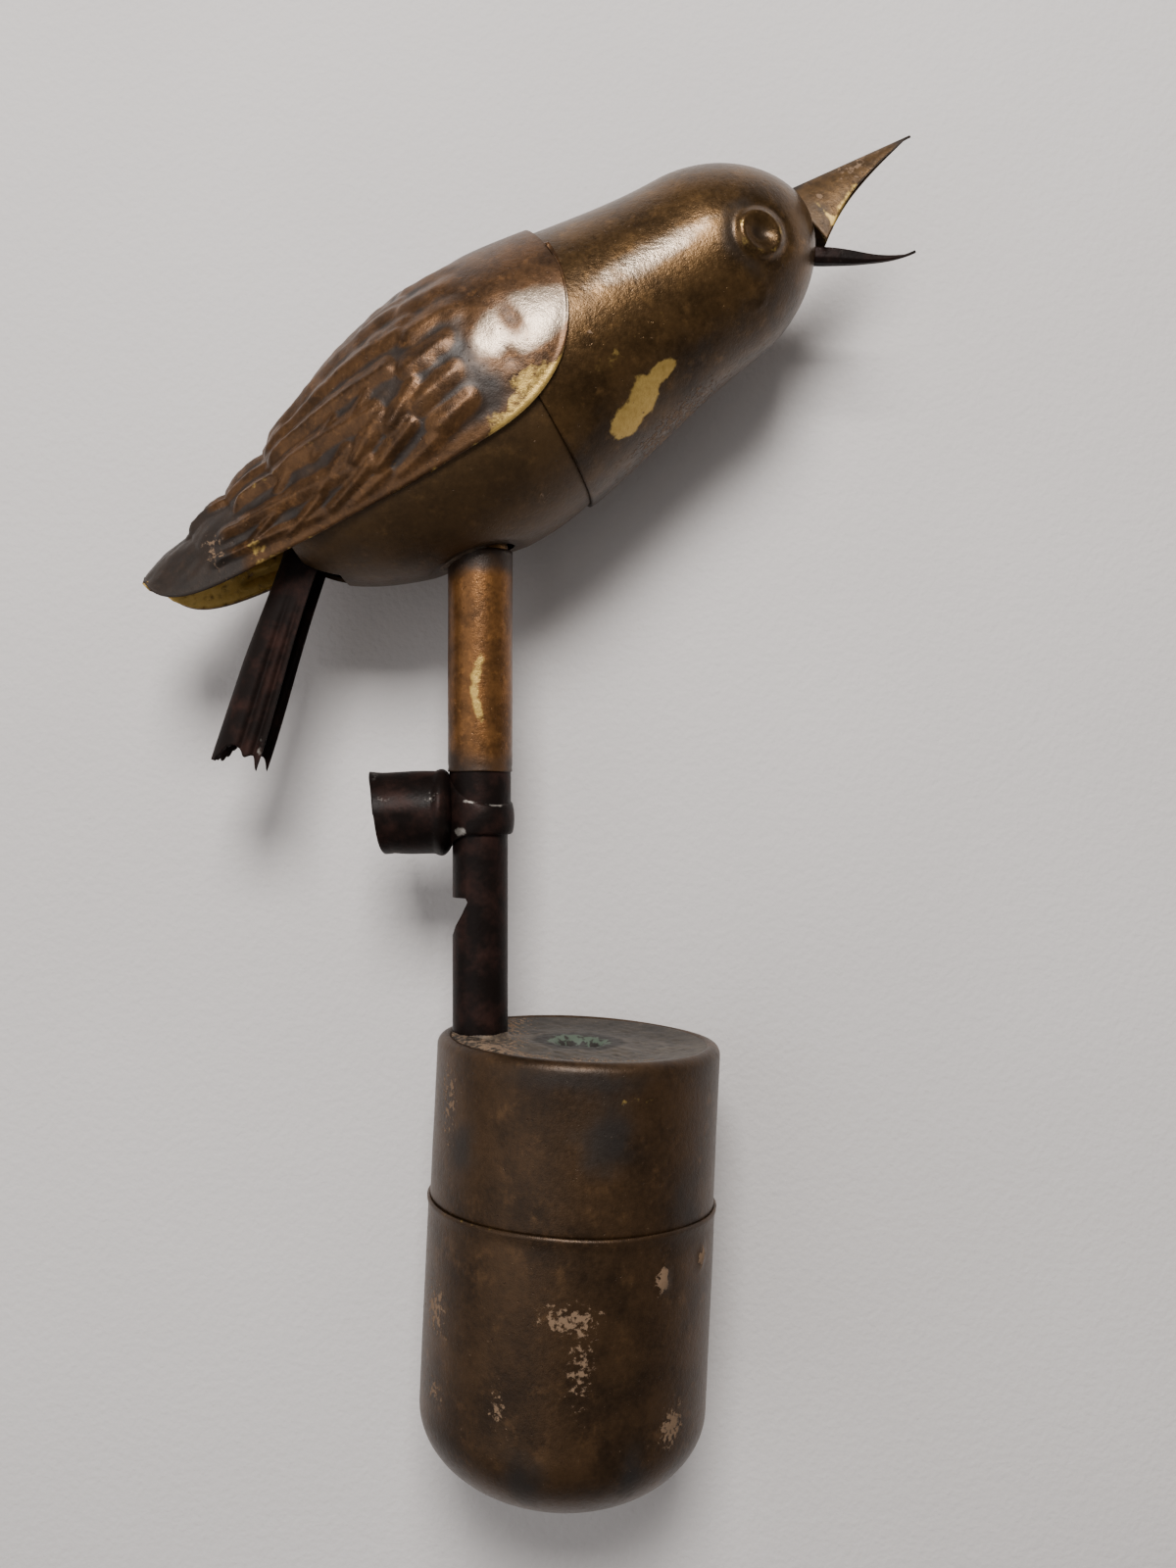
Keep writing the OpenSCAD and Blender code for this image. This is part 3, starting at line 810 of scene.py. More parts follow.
def saddle():
    """Collar bent round the tee: its upper edge sweeps up towards the side pipe, and its wall
    swells in the middle."""
    angle = turn_angles(144)
    u = np.linspace(0, 1, 26)
    a = np.repeat(angle[None, :], len(u), 0)
    s = np.repeat(u[:, None], len(angle), 1)
    towards_pipe = np.angle(-np.exp(1j * a))
    top = 24.6 + 3.3 * hump(towards_pipe, 1.0) + 0.18 * ripple(51, 2 * a) + 0.3 * np.cos(a + 0.6)
    low = 21.45 - 1.7 * hump(towards_pipe, 0.7) + 0.12 * ripple(52, 2 * a)
    z = low + (top - low) * s
    radius = 3.28 + 0.33 * np.sin(math.pi * s) ** 0.45 + 0.05 * ripple(53, 3 * a, 3 * s)
    obj = piece("saddle_bend", stem_point(radius * np.cos(a), -radius * np.sin(a), z), wrap=True)
    at = (places(obj) - STEM_FOOT) / MM
    x, z = at[:, 0], at[:, 2]
    # Painted highlights on the solder along the collar's edges
    painted_glints = 0.75 * hump(z - 24.6, 0.35) * hump(x - 1.8, 1.0)
    painted_glints = painted_glints + 0.6 * hump(z - 24.9, 0.3) * hump(x + 1, 1.5)
    painted_glints = painted_glints + 0.8 * hump(z - 21.8, 0.5) * hump(x + 1.9, 0.7)
    mark(obj, shine=painted_glints)
    return obj


def stem():
    """Straight tube with faint flats and a lip where it sits on the tee."""
    low, high = STEM_START, 51.2
    levels = np.concatenate([[low, low + 0.15, low + 0.5], np.linspace(low + 0.8, high, 60)])
    angle = turn_angles(120)
    a = np.repeat(angle[None, :], len(levels), 0)
    z = np.repeat(levels[:, None], len(angle), 1)
    r = 3.4 + 0.04 * ripple(61, 2 * a, z / 4) - 0.05 * hump(z - low - 0.5, 0.2)
    z = z + 0.10 * ripple(62, 2 * a) * hump(z - low, 0.6)
    obj = piece("bird_stem", stem_point(r * np.cos(a), -r * np.sin(a), z), wrap=True)
    thicken(obj, 0.48)
    settle(obj)
    at = (places(obj) - STEM_FOOT) / MM
    x, y, z = at.T
    front = smooth(0.5, 2.5, -y)
    strip = hump(x + 0.1 + 0.3 * np.sin(z * 0.9), 0.75) * smooth(31, 34.5, z) * smooth(42, 39, z) * front
    # Painted highlight along the +X edge of the front
    edge = hump(x - 3.1 - 0.3 * np.sin(z * 1.7), 0.35) * smooth(29, 31, z) * front
    # Painted shadow under the belly at the top of the tube; darker also towards the foot and on the -X side
    dark = smooth(31.5, 28.3, z) * 0.75 + 0.35 * smooth(-1.2, -3.2, x) + 0.8 * smooth(47.5, 50, z)
    mark(obj, rub=0.66 * strip + 0.5 * edge, soot=dark)
    return obj


# ---------------------------------------------------------------- body shells


def eye_relief(forward, upward):
    """Raised ring with a dished middle: distance from the eye sets the height, and a narrow
    rim rises inside the ring."""
    size = sizes()
    far = np.hypot(forward, upward)
    ring = 0.55 * hump(far - size.eye_ring, 0.52)
    brow = 0.16 * hump(np.hypot(forward + 0.2, upward - 0.1) - 1.15, 0.2)
    return ring + brow - 0.5 * hump(far, 0.95) - 0.12 * hump(far - 3.0, 0.5)


def front_body():
    """Turned head and breast: the profile's radius lifted by the two eyes, a faint ring below
    each, soft dents, and a slot in the face for the lower beak."""
    size = sizes()
    line = even(FRONT_LINE, 150)
    angle = turn_angles(size.around)
    t = np.repeat(line[:, :1], len(angle), 1)
    r = np.repeat(line[:, 1:], len(angle), 1)
    a = np.repeat(angle[None, :], len(line), 0)
    height, side = r * np.cos(a), r * np.sin(a)
    lift = 0 * r
    for hand in (1, -1):
        facing = smooth(2.5, 5, hand * side)
        lift = lift + facing * eye_relief((t - PIVOT_T) * 1.05, height - PIVOT_V)
        mark_far = np.hypot(t - 11.9, (height + 6.4) * 1.3)
        lift = lift + facing * (0.07 * hump(mark_far - 1.7, 0.3) - 0.05 * hump(mark_far, 0.9))
    lift = lift + 0.10 * ripple(71, t / 7, 2 * a) * smooth(3, 9, t)
    lift = lift - 0.12 * hump(t - 35.8, 0.5)
    from_back = np.degrees(np.abs(np.angle(np.exp(1j * a))))
    lift = lift - 0.22 * hump(t - 23, 4) * hump(from_back - 140, 18)
    obj = piece("front_body", body_point(t, r + lift, a), wrap=True, first_pole=True)
    thicken(obj, size.shell_wall)
    mouth = [(0, 0.6), (-12, 7.4), (-12, -5.2), (0, -1.2)]
    cutter = block("mouth cutter", mouth, 1.15, lambda o, w: BEAK_PIVOT + MM * (
        o[:, :1] * BACK + o[:, 1:] * -RISE + w * NEAR))
    cut(obj, [cutter])
    settle(obj, [cutter])
    paint_front(obj)
    return obj


def paint_front(obj):
    """Gold showing in flecks along the flank, a bright worn patch on the breast, dark halo round
    the eye and a dark belly, with a painted highlight along the flank, painted shade over the
    crown and a painted shadow along the wing's front edge."""
    t, v, angle, side = body_place(places(obj))
    olive = hump(t - 28, 5) * hump(angle - 114, 9) + 0.8 * hump(t - 20, 5) * hump(angle - 109, 7)
    lobes = (
        hump(t - 29.3, 1.9) * hump(angle - 142, 8) + hump(t - 26.3, 1.5) * hump(angle - 137, 9)
        + 0.9 * hump(t - 23.4, 1.5) * hump(angle - 133, 5)
    )
    eye = np.hypot(t - PIVOT_T, v - PIVOT_V)
    halo = smooth(5.2, 3.3, eye) * smooth(2.3, 3.0, eye) * smooth(5.5, 8.5, t + 0.5 * v)
    rim = hump(eye - 2.1, 0.55)
    belly = smooth(112, 140, angle) * smooth(2, 8, t)
    # Painted shade: the top of the head darkened
    crown = smooth(50, 20, angle) * hump(t - 6, 7)
    dots = hump(t - 21.7, 0.3) * hump(angle - 80, 1.6) + hump(t - 28.1, 0.3) * hump(angle - 99, 1.6)
    mark(
        obj,
        rub=0.36 * olive + 1.25 * lobes * (side > 0) + 0.42 * rim,
        # Painted highlight along the flank
        shine=0.66 * hump(t - 19, 9) * hump(angle - 82, 9),
        # The band at t = 26.2 is a painted shadow along the wing's front edge; with it the crown's painted shade,
        # the dark halo, the dark belly and the dark eye
        soot=0.62 * halo + 0.52 * belly + 0.45 * crown + 0.62 * smooth(1.5, 0.5, eye)
        + 0.5 * hump(t - 26.2, 1.2) * smooth(60, 30, angle),
        crust=0.7 * dots + 0.5 * smooth(150, 162, angle) * hump(t - 24, 8),
    )


def rear_body():
    """Turned belly and rump, tucked under the front shell, with a hole for the stem whose edge
    is pressed inwards and an open end for the tail."""
    size = sizes()
    line = even(REAR_LINE, 150)
    line = line[line[:, 0] < 64.6]
    angle = turn_angles(size.around)
    t = np.repeat(line[:, :1], len(angle), 1)
    r = np.repeat(line[:, 1:], len(angle), 1)
    a = np.repeat(angle[None, :], len(line), 0)
    at = body_point(t, r, a)
    from_stem = np.hypot(at[..., 0] - STEM_FOOT[0], at[..., 1]) / MM
    below = np.cos(a) < 0
    lift = 0.10 * ripple(81, t / 6, 2 * a) * smooth(36, 39, t)
    lift = lift - below * 0.55 * smooth(5.6, 3.6, from_stem)
    obj = piece("rear_body", body_point(t, r + lift, a), wrap=True)
    thicken(obj, size.shell_wall)
    ring = turn_angles(64)
    around_stem = 3.62 * np.stack([np.cos(ring), np.sin(ring)], axis=1)
    hole = block("stem cutter", around_stem, 20, lambda o, w: STEM_FOOT + MM * np.concatenate(
        [o, np.full((len(o), 1), 44.0 + w / 2)], axis=1))
    gap = block("tail cutter", [(62, -2.5), (80, -2.5), (80, -20), (62, -20)], 3.1,
                lambda o, w: NOSE + MM * (o[:, :1] * BACK + o[:, 1:] * RISE + w * NEAR))
    cut(obj, [hole, gap])
    settle(obj, [hole, gap])
    t, v, angle, _ = body_place(places(obj))
    from_stem = np.hypot(places(obj)[:, 0] - STEM_FOOT[0], places(obj)[:, 1]) / MM
    shadow = smooth(5.2, 3.6, from_stem) * (v < 0)
    mark(
        obj,
        # Painted shadow round the stem hole on the underside, and darker towards the tail end
        soot=0.5 * shadow + 0.25 * smooth(50, 60, t),
        rub=0.12 * hump(angle - 150, 12) * hump(t - 44, 5) + 0.22 * hump(t - 38, 2) * hump(angle - 118, 6),
        crust=0.75 * hump(t - 40.1, 0.45) * hump(angle - 149, 2.4)
        + 0.5 * hump(t - 38.4, 0.3) * hump(angle - 124, 1.5),
        # Painted highlight on the belly side of the flank
        shine=0.18 * hump(angle - 128, 12) * hump(t - 42, 6),
    )
    return obj


# ---------------------------------------------------------------- wing cover

MM_PER_DEGREE = 0.22


# Each feather as start and end of its quill, [distance behind the nose, degrees from the back],
# then its half width in mm and its height
QUILLS = [
    (44, 24, 60, 9, 1.5, 0.8), (43, 40, 60, 24, 1.4, 0.9), (44, 55, 61, 38, 1.3, 0.9),
    (46.8, 67, 61, 50, 1.2, 1.0), (50.4, 78, 66, 57, 1.3, 1.0), (55.4, 93, 69, 72, 1.3, 0.9),
    (60, 104, 71, 88, 1.1, 0.8), (59, 30, 70, 14, 1.5, 0.8), (60, 47, 72, 30, 1.3, 0.8),
]
VANES = [
    (45.2, 80, 49.2, 88, 0.9, 0.8), (49.8, 82, 54.2, 91, 0.9, 0.9), (54.2, 84, 58.6, 92, 0.9, 0.8),
    (47.6, 93, 52.4, 100, 0.8, 0.9), (53.0, 96, 58.6, 104, 0.8, 0.9), (58.6, 94, 63.4, 102, 0.8, 0.8),
    (46.0, 103, 51.0, 108, 0.8, 0.8), (52.0, 104, 57.0, 109, 0.7, 0.7), (63.5, 84, 67.5, 92, 0.8, 0.7),
    (49.4, 68, 52.4, 75, 0.8, 0.7), (53.6, 66, 57.2, 74, 0.8, 0.7), (58.6, 64, 62.0, 72, 0.8, 0.7),
]
COVERTS = [
    (36.5, 32, 40.5, 29, 1.5, 0.5), (37.5, 47, 42.0, 44, 1.5, 0.6), (38.5, 61, 43.0, 60, 1.4, 0.6),
    (40.5, 73, 45.0, 74, 1.2, 0.7), (41.5, 86, 46.0, 88, 1.2, 0.8), (41.5, 98, 45.5, 100, 1.1, 0.8),
    (41.0, 15, 45.5, 8, 1.6, 0.6), (41.5, 35, 46.0, 31, 1.3, 0.6), (42.5, 52, 46.5, 50, 1.2, 0.6),
]


def feather_relief(t, angle):
    """Height of the embossing from 0 to 1: each feather is a rounded lobe about its quill, and
    where lobes meet the higher one wins, which leaves a crease between them."""
    sway = 0.35 * ripple(91, t / 2.2, angle / 9)
    height = 0 * t
    for t0, a0, t1, a1, half, top in QUILLS + VANES + COVERTS:
        run, turn = t1 - t0, (a1 - a0) * MM_PER_DEGREE
        along = ((t - t0) * run + (angle - a0) * MM_PER_DEGREE * turn) / (run * run + turn * turn)
        along = np.clip(along, 0, 1)
        off = np.hypot(t - t0 - along * run, (angle - a0) * MM_PER_DEGREE - along * turn) + sway
        near = np.clip(1 - np.maximum(off, 0) / (1.35 * half), 0, 1)
        lobe = top * (0.5 * near * (2 - near) + 0.5 * near**2) * (0.65 + 0.35 * along)
        height = np.maximum(height, lobe)
    return height + 0.12 * ripple(92, t * 1.3, angle / 3.6, waves=10) * smooth(34, 40, t)


def tail_steps(t):
    """Scalloped outline of the overlapping tail feathers: one arch between each pair of steps."""
    edges = np.array([55.5, 61.8, 67.4, 72.6, 81.5])
    phase = np.interp(t, edges, np.arange(len(edges)))
    part = phase - np.floor(phase)
    return np.where((t > edges[0]) & (t < edges[-1]), 1 - (1.6 * part - 0.9) ** 2, 0.45)


def wing():
    """Sheet saddled over the back. Rows follow the body, columns spread from one lower edge to
    the other, and each point's radius is the cover's profile plus the feather relief."""
    size = sizes()
    rise, rows, cols = 0.2, 230, 168
    share = np.linspace(0, 1, rows) ** 1.25
    t_row = 26.8 + (79.3 - 26.8) * share
    radius = np.interp(t_row, WING_LINE[:, 0], WING_LINE[:, 1])
    edge_v = np.interp(t_row, WING_EDGE[:, 0], WING_EDGE[:, 1])
    reach = np.arccos(np.clip((edge_v - rise) / radius, -1, 1))
    spread = np.linspace(-1, 1, cols)
    spread = spread * (1.12 - 0.12 * spread**2)
    a = reach[:, None] * spread[None, :]
    t = np.repeat(t_row[:, None], cols, 1)
    r = np.repeat(radius[:, None], cols, 1)
    degrees = np.degrees(np.abs(a))
    margin = reach[:, None] * (1 - np.abs(spread[None, :])) * r
    inside = smooth(0.3, 2.4, margin) * smooth(26.8, 29.5, t)
    relief = feather_relief(t, degrees + 1.5 * np.sign(a)) * inside
    figure = hump(t - 34, 1.1) * hump(degrees - 78, 9) + 0.8 * hump(t - 36.2, 0.9) * hump(degrees - 92, 4)
    lift = size.relief * 2.0 * (relief - 0.3 * inside * smooth(33, 38, t)) - 0.16 * figure * (a > 0)
    lift = lift + 0.7 * (tail_steps(t) - 0.6) * smooth(100, 40, degrees) * smooth(56, 60, t)
    lift = lift + 0.12 * hump(margin - 0.25, 0.35)
    lift = lift + 0.10 * ripple(93, t / 2.5, degrees / 12) * inside
    obj = piece("wing_sheet", body_point(t, r + lift, a, rise))
    feathered = smooth(36, 40, t)
    low = smooth(0.30, 0.05, relief) * inside * feathered
    high = smooth(0.45, 0.85, relief) * inside
    near = a > -0.2
    # Silver patch: rubbed brass with a painted reflection of the lamp on it
    silver = smooth(1.15, 0.55, np.hypot((t - 33.2) / 6.6, (degrees - 82) / 15)) * near
    gold = smooth(1.2, 0.6, np.hypot((t - 37.5) / 6.6, (degrees - 105) / 9)) * near
    tip = smooth(68, 71.5, t)
    # Painted highlight along the front rim
    rim_highlight = hump(t - 26.9, 0.5) * smooth(45, 80, degrees)
    masks = dict(
        shine=silver * (0.72 - 0.6 * figure) + 0.45 * rim_highlight,
        rub=gold * (0.54 - 0.3 * low) + 0.36 * high * smooth(30, 60, degrees) * (1 - tip)
        + 0.5 * near * hump(t - 67.3, 1.5) * hump(degrees - 97, 8) + 0.42 * hump(margin, 0.4) * (1 - tip),
        soot=0.80 * low * (1 - 0.6 * silver) + 1.3 * tip * (near | (margin > 4)) + 0.42 * figure * near,
        crust=0.5 * tip * hump(t - 70.5, 2.2) * hump(degrees - 75, 20),
    )
    thicken(obj, size.wing_wall)
    settle(obj)
    lining = dict(masks, rub=0.62 * smooth(61, 64, t), soot=0 * t)
    mark(obj, **{name: np.stack([masks[name], lining[name]]) for name in masks})
    return obj


# ---------------------------------------------------------------- beak and tail


def upper_beak():
    """Folded sheet: a ridge from the brow to the tip, and two walls that fall from it to edges
    which sweep up to the tip."""
    lean = math.radians(5.9)
    ahead = -BACK * math.cos(lean) + RISE * math.sin(lean)
    over = RISE * math.cos(lean) + BACK * math.sin(lean)
    root = NOSE + MM * (-0.55 * BACK - 1.0 * RISE)
    length = 13.05
    x_row = -1.5 + (length + 1.5) * np.linspace(0, 1, 90) ** 0.92
    edge = np.concatenate([[(-1.5, -3.6)], bezier([(-0.2, -3.0), (4.5, -0.2), (9, -0.35), (length, 0)])])
    low = np.interp(x_row, edge[:, 0], edge[:, 1])
    top = 3.8 * (1 - (x_row + 1.5) / (length + 1.5))
    half = 2.2 * np.clip(1 - x_row / length, 0, 1.1) ** 0.9 + 0.05
    w = np.linspace(-1, 1, 61)
    x = np.repeat(x_row[:, None], len(w), 1)
    wide = half[:, None] * np.sign(w) * (1 - (1 - np.abs(w)) ** 1.7)
    z = top[:, None] + (low - top)[:, None] * np.abs(w) ** 1.15
    wave = 0.10 * ripple(101, x / 1.6, w[None, :] * 2) * smooth(0, 2, x) * smooth(14, 11, x)
    side = wide * (1 + wave)
    points = root + MM * (x[..., None] * ahead + side[..., None] * NEAR + z[..., None] * over)
    obj = piece("upper_beak_sheet", points)
    along = x / length
    rim = smooth(0.80, 0.97, np.abs(w))[None, :] + 0 * x
    mark(
        obj,
        rub=0.30 * hump(along - 0.25, 0.25)
        + 0.42 * hump(x - 0.3, 0.3) * smooth(0.3, 0.7, np.abs(w))[None, :]
        + 0.25 * rim * smooth(0.6, 0.3, along),
        soot=0.55 * smooth(0.16, 0.0, np.abs(w))[None, :] + 0.9 * smooth(0.72, 0.95, along)
        + 0.45 * smooth(0.12, 0.0, along),
        crust=0.9 * hump(x - 1.1, 0.35) * hump(z - 0.6, 0.4) + 0.4 * hump(along - 0.5, 0.25),
    )
    thicken(obj, 0.28)
    settle(obj)
    return obj


def lower_beak():
    """Narrow trough from inside the head to an upturned tip: the floor follows the lower line
    and the walls rise to the upper one."""
    top_curve = bezier([(6.8, 1.65), (11, 1.7), (13.5, 0.2), (17.5, 1.35)])
    low_curve = bezier([(6, 0.05), (10, -0.1), (15, 0), (17.5, 1.30)])
    top = np.concatenate([[(0.9, 0.75), (6.8, 1.65)], top_curve])
    low = np.concatenate([[(0.9, -0.7), (6, 0.05)], low_curve])
    x_row = np.linspace(0.95, 17.45, 80)
    ceiling = np.interp(x_row, top[:, 0], top[:, 1])
    floor = np.interp(x_row, low[:, 0], low[:, 1])
    half = 0.8 - 0.6 * smooth(6, 17.5, x_row)
    w = np.linspace(-1, 1, 41)
    reach = np.abs(w)
    wide = half[:, None] * np.sign(w) * np.minimum(1, reach * 1.9) ** 0.8
    climb = np.clip((reach - 0.3) / 0.7, 0, 1)
    x = np.repeat(x_row[:, None], len(w), 1)
    z = floor[:, None] + (ceiling - floor)[:, None] * climb + 0.03 * ripple(111, x, w * 2)
    points = BEAK_PIVOT + MM * np.stack([x, -wide, z], axis=-1)
    obj = piece("lower_beak_sheet", points)
    # Painted highlight along the middle of the lower beak
    mark(obj, shine=0.25 * hump(x - 9, 5))
    thicken(obj, 0.26)
    settle(obj)
    return obj


def tail():
    """Trough of sheet that hangs from the tail pivot: a rounded back, two flanks creased along
    their length, and a lower end torn into a broken lobe, a short one and a long one."""
    hang = math.radians(108.4)
    along = np.array([math.cos(hang), 0, -math.sin(hang)])
    ahead = np.array([math.sin(hang), 0, math.cos(hang)])
    rows, cols = 110, 120
    c = np.linspace(-1, 1, cols)
    reach = np.abs(c)
    bend = np.clip(reach / 0.42, 0, 1) * math.pi / 2
    flank = np.clip((reach - 0.42) / 0.58, 0, 1)
    depth = np.where(reach < 0.42, -np.cos(bend) * 0.52, 0) + flank * 0.48
    depth = (depth + 0.52) / 1.0
    wide = np.where(reach < 0.42, np.sin(bend), 1.0)
    end = 25.2 + 0.9 * hump(depth - 0.70, 0.12) + 1.9 * hump(depth - 1.02, 0.13)
    end = end + 1.9 * smooth(0.34, 0.10, depth) + 0.45 * saw(depth * 13) * smooth(0.45, 0.35, depth)
    s = np.linspace(0, 1, rows)[:, None]
    x = -1.0 + (end[None, :] + 1.0) * s
    spine = -3.0 - 0.45 * smooth(5, 18, x)
    brink = 1.35 + 0.6 * smooth(8, 26, x)
    z = spine + (brink - spine) * depth[None, :]
    crease = hump(depth - 0.58, 0.07) + hump(depth - 0.84, 0.06)
    half = 2.75 - 0.42 * crease[None, :] * smooth(6, 16, x) + 0.10 * ripple(121, x / 5, depth[None, :] * 5)
    y = half * wide[None, :] * np.sign(c)[None, :]
    points = TAIL_PIVOT + MM * (x[..., None] * along + z[..., None] * ahead + y[..., None] * NEAR)
    obj = piece("tail_trough", points)
    # Painted highlight near the end, by the flank's edge
    mark(obj, shine=0.40 * hump(x - 24.5, 2.0) * hump(depth - 0.95, 0.12)[None, :])
    thicken(obj, 0.28)
    settle(obj)
    return obj


# ---------------------------------------------------------------- operators


class WHISTLE_OT_cup(bpy.types.Operator):
    """Builds the cup, its band, its plate and the solder at the tube's foot"""

    bl_idname = "whistle.cup"
    bl_label = "Cup"

    def execute(self, context):
        mid = tuple(colours().cup_brown)
        finish = tarnished("cup tarnish", tone(mid, 0.36), mid, tone(mid, 1.55), 0.42, 6.0, 0.60)
        fit(lower_cup(), "whistle", "cup_brass", finish, "reservoir_cup")
        fit(upper_band(), "whistle", "cup_brass", finish, "reservoir_band")
        fit(cup_plate(), "whistle", "cup_brass", plate_finish(), "top_plate")
        fit(foot_solder(), "whistle", "solder", soldered("soft solder"), "tube_foot_solder")
        return {"FINISHED"}


class WHISTLE_OT_pipes(bpy.types.Operator):
    """Builds the side pipe, the saddle and the stem, and blackens the whistle tube"""

    bl_idname = "whistle.pipes"
    bl_label = "Pipes"

    def execute(self, context):
        black = blackened("blackened pipe", tuple(colours().blackened))
        orange = tuple(colours().stem_orange)
        lacquer = tarnished("stem lacquer", tone(orange, 0.38), orange, tone(orange, 1.4), 0.34, 3.0, 0.65)
        fit(side_pipe(), "whistle", "black_metal", black, "mouth_tube")
        fit(saddle(), "whistle", "black_metal", black, "saddle_collar")
        fit(stem(), "whistle", "stem_brass", lacquer, "stem_tube")
        dress(black, "whistle_tube", "windway_block", "tee_sleeve")
        return {"FINISHED"}


class WHISTLE_OT_body(bpy.types.Operator):
    """Builds the front and rear shells of the bird"""

    bl_idname = "whistle.body"
    bl_label = "Body"

    def execute(self, context):
        mid = tuple(colours().body_brown)
        front = tarnished("body tarnish", tone(mid, 0.36), mid, tone(mid, 1.5), 0.31, 5.0, 0.75)
        rear = tarnished("rump tarnish", tone(mid, 0.34), tone(mid, 0.62), tone(mid, 0.9), 0.44, 5.0, 0.55)
        fit(front_body(), "whistle", "bird_brass", front, "front_shell")
        fit(rear_body(), "whistle", "rear_brass", rear, "rear_shell")
        return {"FINISHED"}


class WHISTLE_OT_wing(bpy.types.Operator):
    """Builds the embossed wing cover"""

    bl_idname = "whistle.wing"
    bl_label = "Wing cover"

    def execute(self, context):
        mid = tuple(colours().wing_brown)
        finish = tarnished("wing tarnish", tone(mid, 0.36), mid, tone(mid, 1.6), 0.38, 3.0, 0.60)
        fit(wing(), "whistle", "wing_brass", finish, "wing_cover")
        return {"FINISHED"}


class WHISTLE_OT_beak(bpy.types.Operator):
    """Builds the fixed upper beak and the moving lower beak"""

    bl_idname = "whistle.beak"
    bl_label = "Beak"

    def execute(self, context):
        tan = tone(tuple(colours().body_brown), 1.05)
        finish = tarnished("beak tarnish", tone(tan, 0.40), tan, tone(tan, 1.4), 0.46, 1.6, 0.6)
        black = blackened("blackened beak", tuple(colours().blackened))
        fit(upper_beak(), "whistle", "bird_brass", finish, "upper_beak")
        fit(lower_beak(), "beak_lever", "black_metal", black, "lower_beak")
        return {"FINISHED"}


class WHISTLE_OT_tail(bpy.types.Operator):
    """Builds the moving tail"""

    bl_idname = "whistle.tail"
    bl_label = "Tail"

    def execute(self, context):
        black = blackened("blackened tail", tone(tuple(colours().blackened), 1.3), 0.66)
        fit(tail(), "tail_lever", "black_metal", black, "tail_blade")
        return {"FINISHED"}


class WHISTLE_OT_works(bpy.types.Operator):
    """Finishes the pins, levers and push rod inside the bird"""

    bl_idname = "whistle.works"
    bl_label = "Works"

    def execute(self, context):
        mid = tuple(colours().body_brown)
        brass = tarnished("inner brass", tone(mid, 0.8), tone(mid, 1.5), tone(mid, 2.2), 0.4, 2.0, 0.95)
        black = blackened("blackened lever", tuple(colours().blackened))
        dress(brass, "beak_pivot_pin", "tail_pivot_pin", "front_guide", "rear_guide", "air_nozzle",
              "push_rod", "air_vane", "front_slot_plate", "rear_slot_plate",
              "beak_crank_pin", "tail_crank_pin")
        dress(black, "beak_hub", "beak_arm", "tail_hub", "tail_arm")
        dress(soldered("inner solder"), "belly_collar")
        return {"FINISHED"}


class WHISTLE_OT_stage(bpy.types.Operator):
    """Lays a pale cloth-coloured floor behind the whistle, and sets the lamps and the camera"""

    bl_idname = "whistle.stage"
    bl_label = "Stage"

    def execute(self, context):
        scene = context.scene
        grid = np.linspace(-0.8, 0.8, 3)
        x, z = np.meshgrid(grid, grid, indexing="ij")
        floor = piece("pale_floor", np.stack([x, 0 * x + CAD_BOX[1][1] + 0.0012, z + 0.04], axis=-1))
        floor.data.materials.append(floor_finish())
        lamp(scene, "window", (-0.01, -0.36, 0.29), (0.0, 0.0, 0.05), 0.15, 2.7, (1.0, 0.98, 0.95))
        lamp(scene, "room", (-0.25, -0.30, 0.02), (0.0, 0.0, 0.03), 0.40, 0.5, (0.97, 0.98, 1.0))
        lamp(scene, "behind", (-0.15, 0.45, 0.35), (0.0, 0.0, 0.05), 0.35, 2.4, (1.0, 0.98, 0.95))
        world = bpy.data.worlds.new("pale room")
        world.use_nodes = True
        world.node_tree.nodes["Background"].inputs["Color"].default_value = (0.62, 0.59, 0.57, 1)
        world.node_tree.nodes["Background"].inputs["Strength"].default_value = 0.32
        scene.world = world
        camera = bpy.data.objects.new("camera", bpy.data.cameras.new("camera"))
        camera.location = (0.0017, -0.15525, 0.04347)
        camera.rotation_euler = (math.radians(90), 0, 0)
        camera.data.lens = 33.75
        camera.data.sensor_width = 36
        camera.data.clip_start = 0.005
        scene.collection.objects.link(camera)
        scene.camera = camera
        return {"FINISHED"}


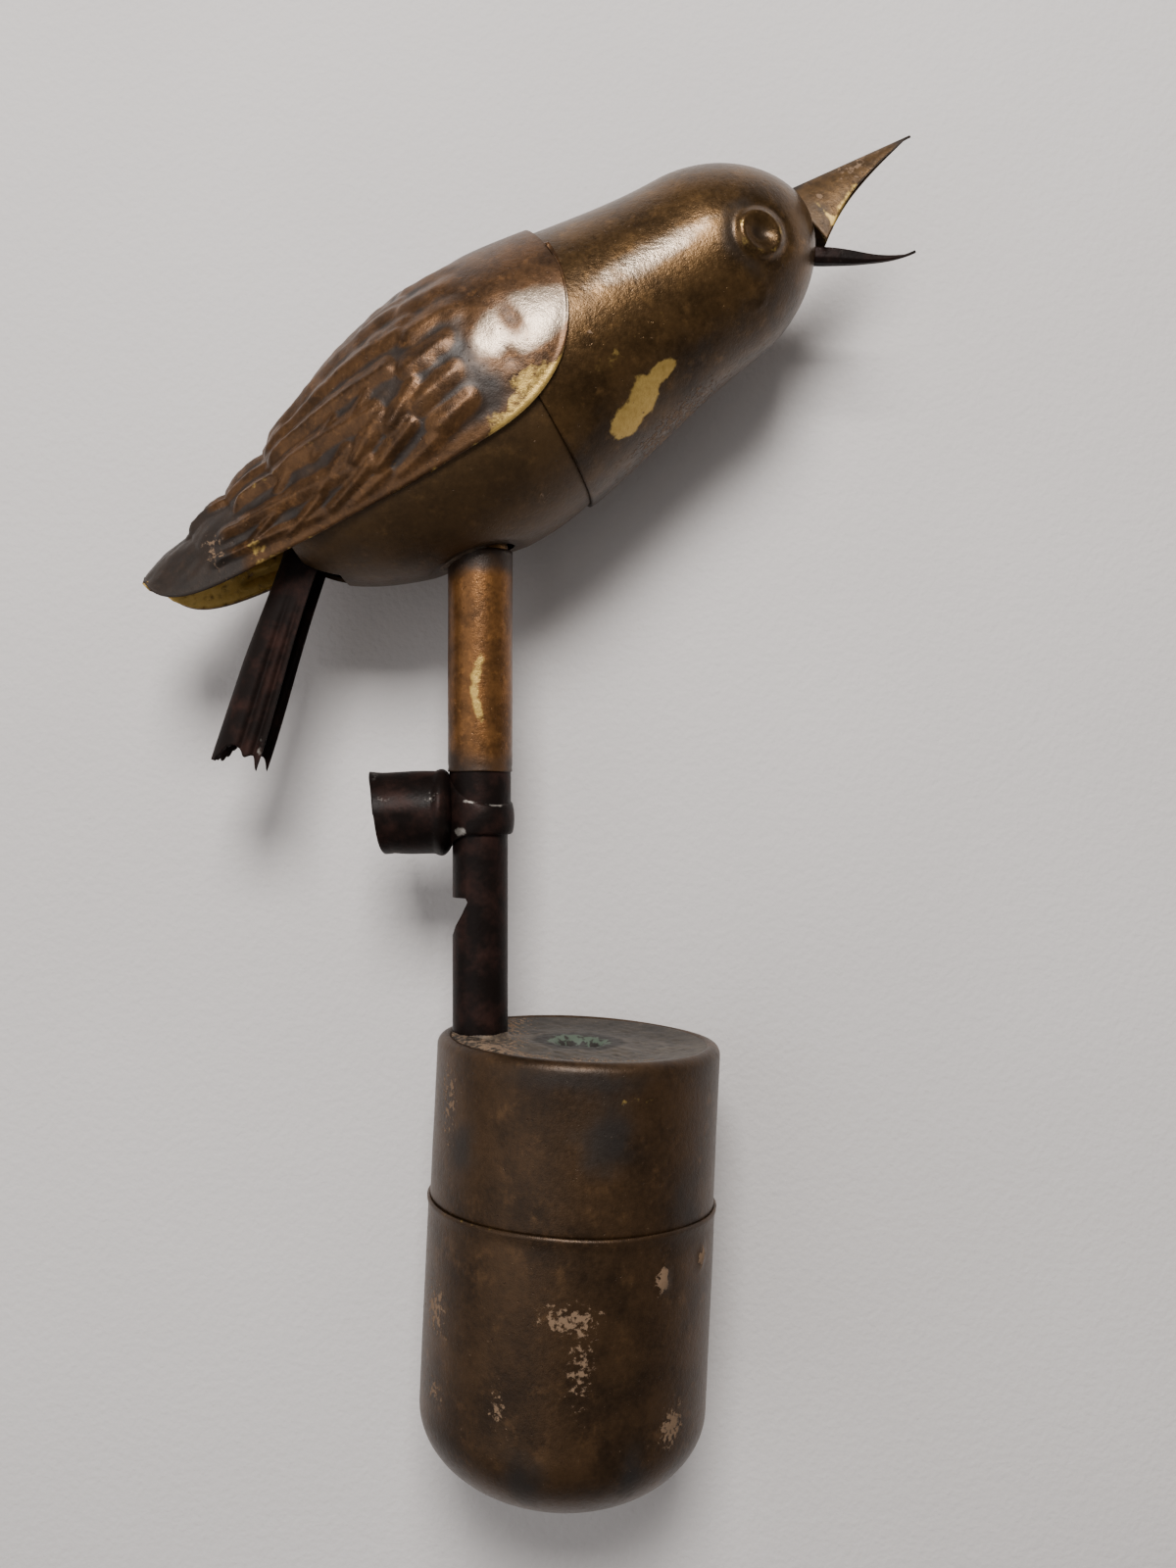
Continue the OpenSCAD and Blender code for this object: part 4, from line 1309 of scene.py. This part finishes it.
def floor_finish():
    """Matt off-white seen from the front only, so that views from behind look through it."""
    paint = Paint("pale cloth")
    weave = paint.noise(0.8, 2.0, 0.5)
    # Painted shade as of folded cloth, in large soft patches
    painted_fold_shade = paint.noise(60.0, 2.0, 0.5)
    paint.set(
        Base_Color=paint.blend(painted_fold_shade, (0.62, 0.585, 0.575), (0.74, 0.705, 0.695)),
        Roughness=0.95,
        Specular_IOR_Level=0.1,
    )
    paint.bump(weave, 0.12)
    back = paint.node("ShaderNodeNewGeometry", {}, {}, "Backfacing")
    clear = paint.node("ShaderNodeBsdfTransparent", {}, {})
    matt = Value(paint, paint.shader.outputs[0])
    both = paint.node("ShaderNodeMixShader", {}, {0: back, 1: matt, 2: clear})
    out = next(node for node in paint.tree.nodes if node.type == "OUTPUT_MATERIAL")
    paint.tree.links.new(both.socket, out.inputs[0])
    return paint.material


def lamp(scene, name, place, target, side, power, colour):
    """Square soft lamp at place, turned to face target."""
    light = bpy.data.lights.new(name, "AREA")
    light.size = side
    light.energy = power
    light.color = colour
    obj = bpy.data.objects.new(name, light)
    obj.location = place
    obj.rotation_euler = (Vector(target) - Vector(place)).to_track_quat("-Z", "Y").to_euler()
    scene.collection.objects.link(obj)


class WHISTLE_PT_panel(bpy.types.Panel):
    """Sidebar panel with the sizes, the colours and a button for each group of pieces"""

    bl_label = "Bird Whistle"
    bl_idname = "WHISTLE_PT_panel"
    bl_space_type = "VIEW_3D"
    bl_region_type = "UI"
    bl_category = "Bird Whistle"

    def draw(self, context):
        for group in (context.scene.whistle_sizes, context.scene.whistle_colours):
            for name in group.__annotations__:
                self.layout.prop(group, name)
        for operator in OPERATORS:
            self.layout.operator(operator.bl_idname)


OPERATORS = (
    WHISTLE_OT_stage,
    WHISTLE_OT_cup,
    WHISTLE_OT_pipes,
    WHISTLE_OT_body,
    WHISTLE_OT_wing,
    WHISTLE_OT_beak,
    WHISTLE_OT_tail,
    WHISTLE_OT_works,
)
CLASSES = (WhistleSizes, WhistleColours, *OPERATORS, WHISTLE_PT_panel)


def register():
    for kind in CLASSES:
        bpy.utils.register_class(kind)
    bpy.types.Scene.whistle_sizes = PointerProperty(type=WhistleSizes)
    bpy.types.Scene.whistle_colours = PointerProperty(type=WhistleColours)


def unregister():
    del bpy.types.Scene.whistle_colours
    del bpy.types.Scene.whistle_sizes
    for kind in reversed(CLASSES):
        bpy.utils.unregister_class(kind)


def main():
    """Builds every piece and the stage."""
    register()
    for operator in OPERATORS:
        group, name = operator.bl_idname.split(".")
        if getattr(getattr(bpy.ops, group), name)() != {"FINISHED"}:
            raise RuntimeError(f"{operator.bl_idname} did not finish")


if __name__ == "__main__":
    main()
